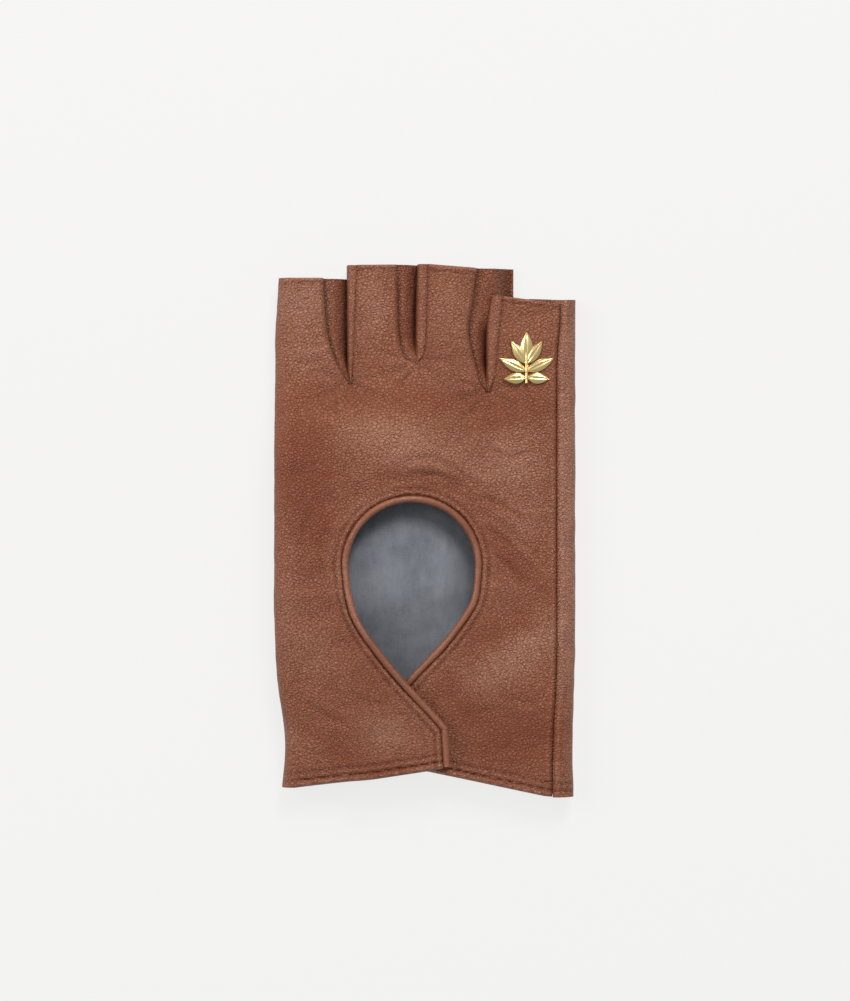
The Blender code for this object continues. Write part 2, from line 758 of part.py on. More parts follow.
def hang_on(name, place, axis_end, pieces, collection):
    """Parents pieces to an empty on their joint's axis, and leaves them where they are."""
    pivot = bpy.data.objects.new(name, None)
    collection.objects.link(pivot)
    pivot.location = point(*place)
    pivot.rotation_euler = (Vector(axis_end) - Vector(place)).to_track_quat("Z", "X").to_euler()
    bpy.context.view_layer.update()
    for piece in pieces:
        child = bpy.data.objects[piece]
        child.parent = pivot
        child.matrix_parent_inverse = pivot.matrix_world.inverted()


def hang_moving_pieces(collection):
    """Puts the two flaps and the thumb on their joints' axes."""
    left = LEFT_HINGE_X + GAP / 2
    high_end = (left, LIFT_FULL_Y[0], BACK_TOP_Z + LIFT)
    low_end = (left, LIFT_START_Y, BACK_TOP_Z)
    top = ["top_flap", "top_flap_facing", "top_flap_binding", "top_flap_thread", "press_socket"]
    hang_on("top_flap_hinge", high_end, low_end, top, collection)
    right = RIGHT_HINGE_X - GAP / 2
    under_z = BACK_TOP_Z + lift(right, LIFT_FULL_Y[0])
    under = ["under_flap", "under_flap_facing", "under_flap_binding", "under_flap_thread"]
    under += ["press_stud", "stud_cap"]
    hang_on("under_flap_hinge", (right, LIFT_START_Y, under_z), (right, 0.0, under_z), under, collection)


def main():
    clear_scene()
    scene = bpy.context.scene
    glove = bpy.data.collections.new("driving_glove")
    cutter_shelf = bpy.data.collections.new("cutters")
    scene.collection.children.link(glove)
    scene.collection.children.link(cutter_shelf)
    leather = (LEATHER_COLOUR, 0.48)
    lining = (LINING_COLOUR, 0.9)
    backing = (BACKING_COLOUR, 0.8)
    sewing = (THREAD_COLOUR, 0.6)
    gold = (GOLD_COLOUR, 0.28, 1.0)
    steel = (STEEL_COLOUR, 0.35, 1.0)
    cutters = make_cutters(cutter_shelf)
    make_back(cutters, glove, leather, lining)
    make_palm(cutters, glove, leather, lining)
    make_fourchettes(glove, leather)
    make_elastic(glove, (ELASTIC_COLOUR, 0.8))
    make_flaps(cutters, glove, leather, backing, sewing)
    make_threads(glove, sewing)
    make_thumb(cutters, glove, leather)
    make_fastener(glove, steel)
    make_emblem(glove, cutter_shelf, gold)
    hang_moving_pieces(glove)


main()
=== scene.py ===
# %% [markdown]
# # A fingerless driving glove, finished on its CAD frame
# The frame holds the glove's layers, flaps and fasteners as plain solids. This lesson replaces the
# leather, linings, threads, elastic and ornament with finely meshed pieces. Most pieces ride on the body
# that their solid belongs to; the flap pieces and their rolls and stitches are baked in place on no body.

# %% Load the frame
import math
import bmesh
import bpy
import numpy as np
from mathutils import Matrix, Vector
from mathutils.geometry import delaunay_2d_cdt


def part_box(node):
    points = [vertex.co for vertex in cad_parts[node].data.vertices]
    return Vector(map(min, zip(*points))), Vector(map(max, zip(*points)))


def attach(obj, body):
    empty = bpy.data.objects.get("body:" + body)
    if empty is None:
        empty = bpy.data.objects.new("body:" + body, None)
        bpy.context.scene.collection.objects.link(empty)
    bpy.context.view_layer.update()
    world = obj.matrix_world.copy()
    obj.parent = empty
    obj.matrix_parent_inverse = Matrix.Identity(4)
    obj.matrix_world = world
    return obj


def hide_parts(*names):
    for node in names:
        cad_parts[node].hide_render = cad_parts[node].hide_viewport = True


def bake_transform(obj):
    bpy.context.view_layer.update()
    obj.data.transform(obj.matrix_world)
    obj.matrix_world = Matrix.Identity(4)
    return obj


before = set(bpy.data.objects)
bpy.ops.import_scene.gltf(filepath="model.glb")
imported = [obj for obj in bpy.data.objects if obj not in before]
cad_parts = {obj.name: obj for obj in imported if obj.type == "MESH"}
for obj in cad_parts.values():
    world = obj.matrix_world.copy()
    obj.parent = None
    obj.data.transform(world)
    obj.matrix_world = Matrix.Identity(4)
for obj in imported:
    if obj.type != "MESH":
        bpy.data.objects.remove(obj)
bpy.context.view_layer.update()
MM = 0.001
print("nodes in the frame:", len(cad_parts))

# %% [markdown]
# ## Camera, floor and light
# The glove lies on a softly glowing table and is seen from straight above. A long lens keeps the sides of
# the fingers from showing. One soft box stands at a slant behind the glove and one to its left, so every
# pebble of the leather has a lit side. The glow takes away most of the shadow on the table.

# %% Camera


def put(name, data):
    """Adds an object with its data to the scene."""
    thing = bpy.data.objects.new(name, data)
    bpy.context.scene.collection.objects.link(thing)
    return thing


VIEW_HEIGHT = 0.3003
LENS = 135.0
SENSOR = 36.0
GLOVE_TOP = 0.009
AIM_Y = 0.009
camera_data = bpy.data.cameras.new("view_from_above")
camera_data.lens = LENS
camera_data.sensor_width = SENSOR
camera = put("view_from_above", camera_data)
camera.location = (0.0, AIM_Y, GLOVE_TOP + VIEW_HEIGHT * LENS / SENSOR)
bpy.context.scene.camera = camera
print("camera height:", round(camera.location.z, 3), "m")

# %% Floor
TABLE_HALF, TABLE_Z = 3, -0.0006
TABLE_GLOW = 0.785
corner_signs = ((-1, -1), (1, -1), (1, 1), (-1, 1))
table_corners = [(right * TABLE_HALF, up * TABLE_HALF, TABLE_Z) for right, up in corner_signs]
floor_mesh = bpy.data.meshes.new("table")
floor_mesh.from_pydata(table_corners, [], [(0, 1, 2, 3)])
floor = put("table", floor_mesh)
floor_finish = bpy.data.materials.new("pale_table")
floor_finish.use_nodes = True
floor_shader = floor_finish.node_tree.nodes["Principled BSDF"]
floor_shader.inputs["Base Color"].default_value = (0.10, 0.10, 0.10, 1.0)
floor_shader.inputs["Emission Color"].default_value = (1.0, 1.0, 0.993, 1.0)
floor_shader.inputs["Emission Strength"].default_value = TABLE_GLOW
floor_shader.inputs["Roughness"].default_value = 0.9
floor_shader.inputs["Specular IOR Level"].default_value = 0.1
floor_mesh.materials.append(floor_finish)
print("table:", floor.name, "at", TABLE_Z, "m")

# %% Lights
LAMP_COLOUR = (1.0, 0.97, 0.925)
ROOM_COLOUR, ROOM_STRENGTH = (1.0, 0.975, 0.94, 1.0), 0.42


def add_light(name, size, power, place):
    """A square soft light that looks at the glove."""
    data = bpy.data.lights.new(name, "AREA")
    data.size = size
    data.energy = power
    data.color = LAMP_COLOUR
    lamp = put(name, data)
    lamp.location = place
    lamp.rotation_euler = (-Vector(place)).to_track_quat("-Z", "Y").to_euler()


add_light("soft_box_top", 0.55, 17.0, (0.30, 1.05, 1.05))
add_light("soft_box_left", 0.7, 9.0, (-1.05, 0.35, 0.95))
world = bpy.data.worlds.new("studio")
world.use_nodes = True
room = world.node_tree.nodes["Background"]
room.inputs["Color"].default_value = ROOM_COLOUR
room.inputs["Strength"].default_value = ROOM_STRENGTH
bpy.context.scene.world = world
bpy.context.scene.view_settings.view_transform = "Standard"
print("lights:", len(bpy.data.lights))

# %% [markdown]
# ## The glove's own measures
# The leather's outer face follows the CAD layers: a level face that the folded thumb lifts on the index
# side. The same formula places every piece, so layers that touch in the frame still touch here. LIFT is
# how far the thumb raises the glove, TOP the level of the back's outer face, LINING_Z the palm lining's
# underside, FLAP_RISE the top flap's extra height, and BEAD the radius of a rolled edge.

# %% Measures in millimetres


def node_box(node):
    """A node's lowest and highest corners in millimetres."""
    low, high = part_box(node)
    return [v / MM for v in low], [v / MM for v in high]


LEATHER = 0.9
LINING = 0.5
back_low, back_high = node_box("back_panel")
LIFT = 6.5
TOP = 8.25
FLAP_RISE = 3.4
INDEX_SIDE_X, LITTLE_SIDE_X, SEAM_X = -45.2, 45.3, 39.6
LINING_Z = 1.2
KEYHOLE_X, KEYHOLE_Y, KEYHOLE_R = -3.9, -10.5, 18.9
BEAD = 1.05
print("back panel:", [round(v, 1) for v in back_low], [round(v, 1) for v in back_high])

# %% Shape formulas


def smooth(start, end, value):
    """0 at start, 1 at end, smooth between; works on whole arrays."""
    share = np.clip((np.asarray(value, float) - start) / (end - start), 0.0, 1.0)
    return share * share * (3.0 - 2.0 * share)


def lift(x, y):
    """How far the folded thumb raises the glove."""
    x, y = np.asarray(x, float), np.asarray(y, float)
    low = np.clip((y + 76.0) / 56.0, 0.0, 1.0)
    return LIFT * (1.0 - smooth(-12.0, 22.0, x)) * low * (1.0 - smooth(20.0, 50.0, y))


def waist(y):
    """How far the sides are drawn in towards the wrist."""
    y = np.asarray(y, float)
    return 2.6 * np.exp(-(((y + 64.0) / 15.0) ** 2)) + 1.4 * smooth(-20.0, -75.0, y) * (y < -20)


def left_edge(y):
    """The index side's x at heights on the page."""
    return INDEX_SIDE_X + waist(y) * 0.8 + 1.2 * smooth(55.0, 80.0, y)


def right_edge(y):
    """The little-finger side's x."""
    return LITTLE_SIDE_X - waist(y) * 0.22


def seam(y):
    """The side seam's x on the back."""
    return SEAM_X - 1.3 * (1.0 - smooth(-72.0, -35.0, y)) + 1.3 * smooth(48.0, 70.0, y)


def rise(x):
    """How far the top flap stands above the under flap's level."""
    return FLAP_RISE * smooth(-25.2, -16.8, x)


def waves(x, y, size, seed, count=7):
    """Soft random hollows about size millimetres across, between -1 and 1."""
    random = np.random.default_rng(seed)
    total = np.zeros(np.broadcast(x, y).shape)
    for _ in range(count):
        angle = random.uniform(0.0, 2.0 * math.pi)
        length = size * random.uniform(0.75, 1.5)
        phase = random.uniform(0.0, 2.0 * math.pi)
        total += np.sin(2.0 * math.pi * (x * math.cos(angle) + y * math.sin(angle)) / length + phase)
    return total / math.sqrt(count) / 1.5


def bump(distance, centre, width):
    """A rounded ridge of height 1 across a line at a distance."""
    return np.exp(-(((distance - centre) / width) ** 2))


print("raised over the thumb by", round(float(lift(-30.0, -26.0)), 2), "mm")

# %% Curves on the page


def curve_through(points, step=0.8):
    """A smooth curve through points, as an array with a point about every step."""
    p = np.array([points[0], *points, points[-1]], float)
    out = []
    for k in range(1, len(p) - 2):
        n = max(1, int(round(np.linalg.norm(p[k + 1] - p[k]) / step)))
        t = (np.arange(n) / n)[:, None]
        a, b, c, d = p[k - 1], p[k], p[k + 1], p[k + 2]
        out.append(
            0.5
            * (2 * b + (c - a) * t + (2 * a - 5 * b + 4 * c - d) * t**2 + (3 * b - a - 3 * c + d) * t**3)
        )
    out.append(p[-1][None])
    return np.vstack(out)


def polyline(points, step=0.8):
    """Straight runs through points, cut into steps."""
    p = np.array(points, float)
    out = []
    for a, b in zip(p, p[1:]):
        n = max(1, int(round(np.linalg.norm(b - a) / step)))
        out.append(a + (b - a) * (np.arange(n) / n)[:, None])
    out.append(p[-1][None])
    return np.vstack(out)


def offset(path, distance):
    """A path moved to its left by a distance."""
    along = np.gradient(path, axis=0)
    along /= np.linalg.norm(along, axis=1)[:, None] + 1e-9
    return path + np.stack([-along[:, 1], along[:, 0]], 1) * distance


def distance_to(x, y, path):
    """Distance of every place to a path."""
    x, y = np.asarray(x, float), np.asarray(y, float)
    best = np.full(x.shape, 1e9)
    for (ax, ay), (bx, by) in zip(path[:-1], path[1:]):
        dx, dy = bx - ax, by - ay
        t = np.clip(((x - ax) * dx + (y - ay) * dy) / (dx * dx + dy * dy + 1e-12), 0.0, 1.0)
        best = np.minimum(best, np.hypot(x - ax - t * dx, y - ay - t * dy))
    return best


print("points on a run of 8 mm:", len(polyline([(0.0, 0.0), (8.0, 0.0)])))

# %% [markdown]
# ## Outlines
# Every edge that the eye follows is one curve: the teardrop of the keyhole, the two flap edges that run
# out of it, the hem, and for each finger gap the crease, the web and the next finger's seam.

# %% Outlines
top_flap_edge = curve_through(
    [(-22.8, -10.5), (-21.7, -19.5), (-18.4, -28.4), (-8.1, -42.2), (5.4, -57.1), (6.9, -59.4)]
)
top_flap_edge = np.vstack([top_flap_edge[:-1], polyline([(6.9, -59.4), (7.6, -70.6)])])
under_flap_edge = curve_through(
    [(15.0, -10.5), (14.3, -18.5), (12.4, -23.4), (5.7, -32.6)]
    + [(-4.0, -42.9), (-13.0, -52.6), (-15.6, -56.0)]
)
angles = np.radians(np.linspace(0.0, 180.0, 76))
keyhole_arch = np.stack([KEYHOLE_X + KEYHOLE_R * np.cos(angles), KEYHOLE_Y + KEYHOLE_R * np.sin(angles)], 1)
LEFT_HEM_Y = -77.3
INDEX_TOP_Y = 75.9
hem_left = polyline([(-52.0, LEFT_HEM_Y), (-39.1, LEFT_HEM_Y), (-15.0, -74.5), (0.2, -72.2), (7.6, -70.9)])
hem_right = polyline([(-15.9, -68.8), (0.2, -72.3), (35.3, -79.7), (39.5, -80.5), (52.0, -80.5)])
GAPS = {
    "index_middle": {
        "crease": curve_through(
            [(-30.6, INDEX_TOP_Y), (-30.1, 65.7), (-28.9, 57.0), (-26.5, 50.3), (-22.8, 45.2)]
        ),
        "seam": curve_through([(-20.5, 79.8), (-21.2, 62.0), (-21.9, 50.0), (-22.4, 45.2)]),
        "slit": curve_through([(-23.4, 79.8), (-23.4, 60.0), (-23.2, 49.0), (-22.5, 45.2)]),
    },
    "middle_ring": {
        "crease": curve_through(
            [(-8.5, 79.9), (-8.3, 68.0), (-8.0, 59.5), (-7.0, 54.6), (-5.6, 51.9), (-3.2, 50.9)]
        ),
        "seam": curve_through(
            [(0.8, 80.1), (0.6, 68.0), (0.3, 59.0), (-0.1, 55.0), (-0.9, 52.0), (-2.5, 50.9)]
        ),
        "slit": curve_through([(-2.2, 80.1), (-2.6, 68.0), (-2.7, 58.0), (-2.7, 54.0), (-2.75, 50.6)]),
    },
    "ring_little": {
        "crease": curve_through([(15.6, 78.9), (14.1, 68.0), (13.1, 58.9), (16.3, 46.3), (18.7, 42.6)]),
        "seam": curve_through([(23.2, 70.6), (22.6, 63.0), (21.9, 55.7), (20.7, 46.0), (19.0, 42.6)]),
        "slit": curve_through([(20.0, 70.6), (19.2, 66.0), (18.6, 60.0), (18.5, 47.0), (18.85, 42.6)]),
    },
}
print("keyhole rim:", len(keyhole_arch) + len(top_flap_edge) + len(under_flap_edge), "points")

# %% [markdown]
# ## Shader maths as expressions
# A small class wraps a node's output socket, so a mask can be written as a sum or a product.

# %% Shader expressions


class Value:
    """A number that a node gives, with the usual arithmetic."""

    def __init__(self, shop, socket):
        self.shop = shop
        self.socket = socket

    def maths(self, operation, *terms):
        """The result of a maths node."""
        made = self.shop.node("ShaderNodeMath", {"operation": operation}, dict(enumerate(terms)))
        return made["Value"]

    def __add__(self, other):
        return self.maths("ADD", self, other)

    def __radd__(self, other):
        return self.maths("ADD", other, self)

    def __sub__(self, other):
        return self.maths("SUBTRACT", self, other)

    def __rsub__(self, other):
        return self.maths("SUBTRACT", other, self)

    def __mul__(self, other):
        return self.maths("MULTIPLY", self, other)

    def __rmul__(self, other):
        return self.maths("MULTIPLY", other, self)

    def clamp(self):
        """Held between 0 and 1."""
        return self.shop.node("ShaderNodeClamp", {}, {"Value": self})["Result"]


class Shop:
    """A material's node tree."""

    def __init__(self, name):
        self.material = bpy.data.materials.new(name)
        self.material.use_nodes = True
        self.tree = self.material.node_tree
        self.shader = self.tree.nodes["Principled BSDF"]
        self.where = self.node("ShaderNodeTexCoord", {}, {})["Object"]

    def node(self, kind, settings, inputs):
        """Adds a node: settings first, then its sockets; returns its outputs by name."""
        made = self.tree.nodes.new(kind)
        for key, value in settings.items():
            setattr(made, key, value)
        for key, value in inputs.items():
            self.plug(made.inputs[key], value)
        return {out.name: Value(self, out) for out in made.outputs if out.enabled}

    def plug(self, socket, value):
        """Links a node's output to a socket, or sets the socket's own value."""
        if isinstance(value, Value):
            self.tree.links.new(value.socket, socket)
        else:
            socket.default_value = value

    def mix(self, share, first, second):
        """A colour between two colours."""
        made = self.tree.nodes.new("ShaderNodeMix")
        made.data_type = "RGBA"
        self.plug(made.inputs["Factor"], share)
        self.plug(made.inputs[6], first)
        self.plug(made.inputs[7], second)
        return Value(self, made.outputs[2])

    def stretch(self, where, turn, scale):
        """Places turned about the upright axis and scaled, for a grain with a direction."""
        settings = {"Vector": where, "Rotation": (0.0, 0.0, turn), "Scale": scale}
        return self.node("ShaderNodeMapping", {}, settings)["Vector"]

    def stripes(self, where, direction, scale, distortion=0.0):
        """Even waves along a direction."""
        settings = {"Vector": where, "Scale": scale, "Distortion": distortion}
        return self.node("ShaderNodeTexWave", {"bands_direction": direction}, settings)["Fac"]

    def mark(self, name):
        """A value that the mesh carries at its points."""
        return self.node("ShaderNodeAttribute", {"attribute_name": name}, {})["Fac"]

    def noise(self, where, scale, detail=2.0, roughness=0.5):
        """Soft random cloud."""
        settings = {"Vector": where, "Scale": scale, "Detail": detail, "Roughness": roughness}
        return self.node("ShaderNodeTexNoise", {}, settings)["Fac"]

    def bump(self, height, distance, strength):
        """A surface direction from a height."""
        inputs = {"Height": height, "Distance": distance, "Strength": strength}
        return self.node("ShaderNodeBump", {}, inputs)["Normal"]

    def set(self, **sockets):
        """Sets the shader's own sockets; an underscore stands for a space."""
        for key, value in sockets.items():
            self.plug(self.shader.inputs[key.replace("_", " ")], value)


# %% [markdown]
# ## Smooth lambskin
# Real lambskin has flat pebbles under a millimetre across, parted by fine creases that stretch where the
# skin is pulled. The finish paints shade into the creases and hollows and paints highlight on the ridges
# and pebble tops. The pieces carry two values at every point, which the finish reads as painted light: a
# shade value paints shade in grooves and highlight on ridges, with a little random tone, and a sheen value
# paints a broad sheen where it is positive and broad shade where it is negative.

# %% Leather finish


def leather_finish(name, base, deep, pale, grain_depth, gloss=0.0):
    """Pebbled skin with random tone, painted shade in its creases and grooves, and painted highlight and
    sheen on its ridges, pebble tops and brightly lit patches.
    """
    shop = Shop(name)
    where = shop.where
    drift = shop.node("ShaderNodeTexNoise", {}, {"Vector": where, "Scale": 90.0, "Detail": 2.0})["Color"]
    bending = {0: drift, 1: (0.0022, 0.0022, 0.0022), 2: where}
    bent = shop.node("ShaderNodeVectorMath", {"operation": "MULTIPLY_ADD"}, bending)["Vector"]
    stretched = shop.stretch(bent, 0.65, (1.0, 1.25, 1.1))
    pebbles = shop.node(
        "ShaderNodeTexVoronoi",
        {"feature": "SMOOTH_F1"},
        {"Vector": stretched, "Scale": 1500.0, "Smoothness": 0.4, "Randomness": 1.0},
    )["Distance"]
    creases = shop.node(
        "ShaderNodeTexVoronoi", {"feature": "DISTANCE_TO_EDGE"}, {"Vector": stretched, "Scale": 880.0}
    )["Distance"]
    crease_mask = 1.0 - (creases * 7.0).clamp()
    pores = shop.noise(where, 5200.0, 2.0)
    broad = shop.noise(where, 38.0, 3.0)
    patch = shop.noise(where, 210.0, 4.0, 0.6)
    grain = 1.0 - pebbles * 1.1
    height = grain * 0.55 - crease_mask * 0.45 + pores * 0.16 + patch * 0.25
    painted_sheen = shop.mark("painted_sheen")
    mark = shop.mark("painted_light_and_tone")
    groove = (0.0 - mark).clamp()
    ridge = mark.clamp()
    # Random patches of tone, plus the painted sheen and painted shade that the sheen value carries.
    tone = ((patch - 0.5) * 1.3 + (broad - 0.5) * 1.0 + 0.60 + painted_sheen * 0.85).clamp()
    colour = shop.mix(tone, deep, base)
    # Painted shade in the grain's creases.
    colour = shop.mix(crease_mask * 0.48, colour, deep)
    # Painted sheen on brightly lit patches and painted highlight on the pebble tops.
    colour = shop.mix((painted_sheen * 1.1 + (grain - 0.45) * 1.7).clamp() * 0.45, colour, pale)
    # Painted shade in grooves, seams and slits.
    colour = shop.mix(groove * 0.78, colour, tuple(c * 0.45 for c in deep[:3]) + (1.0,))
    # Painted highlight on ridges and along the tops of rolls.
    colour = shop.mix(ridge * 0.35, colour, pale)
    rough = 0.44 - gloss + crease_mask * 0.16 + (patch - 0.5) * 0.2 - painted_sheen * 0.09
    shop.set(Base_Color=colour, Roughness=rough.clamp(), Normal=shop.bump(height, grain_depth, 1.0))
    shop.set(Specular_IOR_Level=0.5)
    return shop.material


# The base is the dye. The deep colour is the dark side of its random tone and also the painted shade in
# creases and grooves. The third colour is a painted sheen and highlight.
LEATHER_BASE = (0.252, 0.083, 0.038, 1.0)
LEATHER_DEEP = (0.196, 0.046, 0.014, 1.0)
LEATHER_HIGHLIGHT = (0.43, 0.235, 0.165, 1.0)
lambskin = leather_finish("brown_lambskin", LEATHER_BASE, LEATHER_DEEP, LEATHER_HIGHLIGHT, 0.00042)
bead_skin = leather_finish(
    "rolled_lambskin", (0.245, 0.078, 0.038, 1.0), (0.16, 0.042, 0.018, 1.0), LEATHER_HIGHLIGHT, 0.00009, 0.09
)
print("leather finishes:", lambskin.name, bead_skin.name)

# %% [markdown]
# ## Lining, thread, metal and elastic
# The lining is a napped suede: short fibres that lie in brushed patches, so it is matt and cloudy. The
# thread is a twisted yarn, the ornament is polished gilt, and the elastic is a ribbed woven band.

# %% Suede and thread


def suede_finish(name, base, dark, pale):
    """Matt, brushed nap with random clouds, and painted shade where the shade value is low."""
    shop = Shop(name)
    where = shop.where
    brushed = shop.stretch(where, -0.5, (1.0, 0.35, 1.0))
    clouds = shop.noise(where, 75.0, 4.0, 0.62)
    swipes = shop.noise(brushed, 420.0, 3.0, 0.6)
    fibres = shop.noise(where, 2100.0, 4.0, 0.8)
    tone = ((clouds - 0.5) * 1.9 + (swipes - 0.5) * 0.9 + 0.5).clamp()
    colour = shop.mix(tone, dark, pale)
    colour = shop.mix(((fibres - 0.5) * 2.2 + 0.5).clamp() * 0.40, colour, base)
    colour = shop.mix(((fibres - 0.5) * 5.0).clamp() * 0.45, colour, pale)
    # Painted shade where the shade value is low.
    colour = shop.mix(
        (0.0 - shop.mark("painted_light_and_tone")).clamp() * 0.8, colour, tuple(c * 0.55 for c in dark[:3]) + (1.0,)
    )
    shop.set(Base_Color=colour, Roughness=(0.86 + (fibres - 0.5) * 0.2).clamp())
    shop.set(Normal=shop.bump(fibres * 0.9 + swipes * 0.5, 0.00035, 0.9))
    shop.set(Specular_IOR_Level=0.15, Sheen_Weight=0.35, Sheen_Roughness=0.5)
    return shop.material


def thread_finish(name, base, dark):
    """Yarn with a twist."""
    shop = Shop(name)
    where = shop.where
    twist = shop.stripes(where, "DIAGONAL", 900.0, 1.0)
    shop.set(Base_Color=shop.mix(twist, dark, base), Roughness=(0.5 + twist * 0.2).clamp())
    shop.set(Normal=shop.bump(twist, 0.00005, 0.5))
    return shop.material


print("made so far:", len(bpy.data.materials), "finishes")

# %% Metal and elastic


def metal_finish(name, base, dark, roughness, brushed_scale):
    """Plated metal with fine scratches and a light haze."""
    shop = Shop(name)
    where = shop.where
    haze = shop.noise(where, 160.0, 3.0)
    scratches = shop.noise(shop.stretch(where, 0.0, (1.0, 0.08, 1.0)), brushed_scale, 3.0)
    shop.set(Base_Color=shop.mix((haze * 0.8).clamp(), dark, base), Metallic=1.0)
    shop.set(Roughness=(roughness + (haze - 0.5) * 0.12 + (scratches - 0.5) * 0.10).clamp())
    shop.set(Normal=shop.bump(scratches, 0.00001, 0.35))
    return shop.material


def elastic_finish(name):
    """A woven band, ribbed both ways."""
    shop = Shop(name)
    where = shop.where
    ribs = shop.stripes(where, "X", 260.0)
    rows = shop.stripes(where, "Y", 420.0)
    shop.set(Base_Color=shop.mix(ribs * rows, (0.025, 0.022, 0.022, 1.0), (0.10, 0.09, 0.085, 1.0)))
    shop.set(Roughness=0.82, Normal=shop.bump(ribs + rows * 0.6, 0.0002, 0.8))
    return shop.material


suede = suede_finish(
    "blue_grey_suede", (0.175, 0.192, 0.228, 1.0), (0.105, 0.116, 0.142, 1.0), (0.245, 0.265, 0.305, 1.0)
)
flesh_side = suede_finish(
    "leather_flesh_side", (0.30, 0.20, 0.15, 1.0), (0.20, 0.12, 0.09, 1.0), (0.38, 0.28, 0.22, 1.0)
)
yarn = thread_finish("brown_yarn", (0.27, 0.085, 0.046, 1.0), (0.13, 0.035, 0.018, 1.0))
gilt = metal_finish("polished_gilt", (0.93, 0.76, 0.40, 1.0), (0.84, 0.64, 0.29, 1.0), 0.30, 900.0)
nickel = metal_finish("plated_fastener", (0.70, 0.68, 0.64, 1.0), (0.52, 0.50, 0.47, 1.0), 0.32, 1400.0)
webbing = elastic_finish("woven_elastic")
print("finishes made:", len(bpy.data.materials))

# %% [markdown]
# ## A sheet of leather
# A flat pattern is cut into small triangles inside its outline. Every point then takes a height from a
# formula: the glove's own level, plus ridges, grooves, puckers and hollows measured from the nearest
# edge. A cloth simulation could drape such a sheet, but sewn leather is held by its seams, and a formula
# keeps them exact. Each patch below has a centre, two half-widths, a turn in degrees and a strength.

# %% Where the skin gets broad painted sheen or painted shade, and swells or sinks
# Each patch gives a broad painted sheen where its strength is positive and broad painted shade where it is
# negative, and it swells or sinks the back's leather a little with the same sign.
LIGHT_AND_SWELL_PATCHES = [
    (-37.0, 68.0, 8.0, 9.0, 0.0, 0.54),
    (-36.0, 53.0, 8.0, 6.0, 0.0, 0.32),
    (-15.5, 68.0, 5.0, 11.0, 0.0, 0.4),
    (7.5, 66.0, 5.0, 10.0, 0.0, 0.25),
    (-4.0, 38.5, 44.0, 4.0, 0.0, -0.45),
    (-36.0, 22.0, 8.0, 13.0, 0.0, -0.85),
    (-6.0, 26.0, 24.0, 6.5, -18.0, 0.43),
    (27.0, 20.0, 9.0, 9.0, 0.0, 0.4),
    (2.0, 13.5, 12.0, 3.0, 0.0, -0.35),
    (-33.0, 2.0, 6.0, 9.0, 10.0, -0.55),
    (26.0, -9.0, 14.0, 3.0, -42.0, -0.6),
    (30.0, 2.0, 5.0, 8.0, -30.0, 0.25),
    (27.0, -38.0, 20.0, 5.5, 34.0, 0.61),
    (29.0, -63.0, 14.0, 8.0, 15.0, -0.95),
    (10.0, -52.0, 8.0, 5.0, -40.0, -0.6),
    (-33.0, -34.0, 9.0, 10.0, 0.0, 0.25),
    (-19.0, -33.0, 5.0, 12.0, 35.0, -0.35),
    (-11.0, -61.0, 7.0, 6.0, 0.0, 0.54),
    (-10.5, -72.0, 6.0, 3.5, 0.0, -0.55),
    (-36.0, -64.0, 11.0, 4.0, -30.0, 0.32),
    (-27.0, -66.0, 10.0, 3.5, -30.0, -0.4),
    (24.0, -29.0, 12.0, 3.5, 34.0, -0.35),
    (13.0, -30.0, 4.0, 8.0, -38.0, -0.25),
    (42.6, 10.0, 2.6, 75.0, 0.0, 0.75),
    (-24.0, -17.0, 3.0, 11.0, 22.0, 0.29),
    (-41.0, -16.0, 3.0, 20.0, 0.0, 0.22),
    (22.0, 33.0, 12.0, 3.0, 10.0, -0.3),
]


def painted_light_and_swells(x, y):
    """-1 where the skin gets broad painted shade and sinks, 1 where it gets a broad painted sheen and
    swells.
    """
    tone = np.zeros(np.shape(x))
    for centre_x, centre_y, long, wide, turn, strength in LIGHT_AND_SWELL_PATCHES:
        c, s = math.cos(math.radians(turn)), math.sin(math.radians(turn))
        along = ((x - centre_x) * c + (y - centre_y) * s) / long
        across = ((y - centre_y) * c - (x - centre_x) * s) / wide
        tone += strength * np.exp(-(along**2 + across**2))
    return np.clip(1.2 * tone, -1.0, 1.0)


print("patches of tone:", len(LIGHT_AND_SWELL_PATCHES))

# %% Flat patterns


def inside(x, y, outline):
    """Whether places lie inside a closed outline."""
    result = np.zeros(x.shape, bool)
    for (ax, ay), (bx, by) in zip(outline, np.roll(outline, -1, axis=0)):
        if ay != by:
            crossing = (ay > y) != (by > y)
            result ^= crossing & (x < ax + (y - ay) * (bx - ax) / (by - ay))
    return result


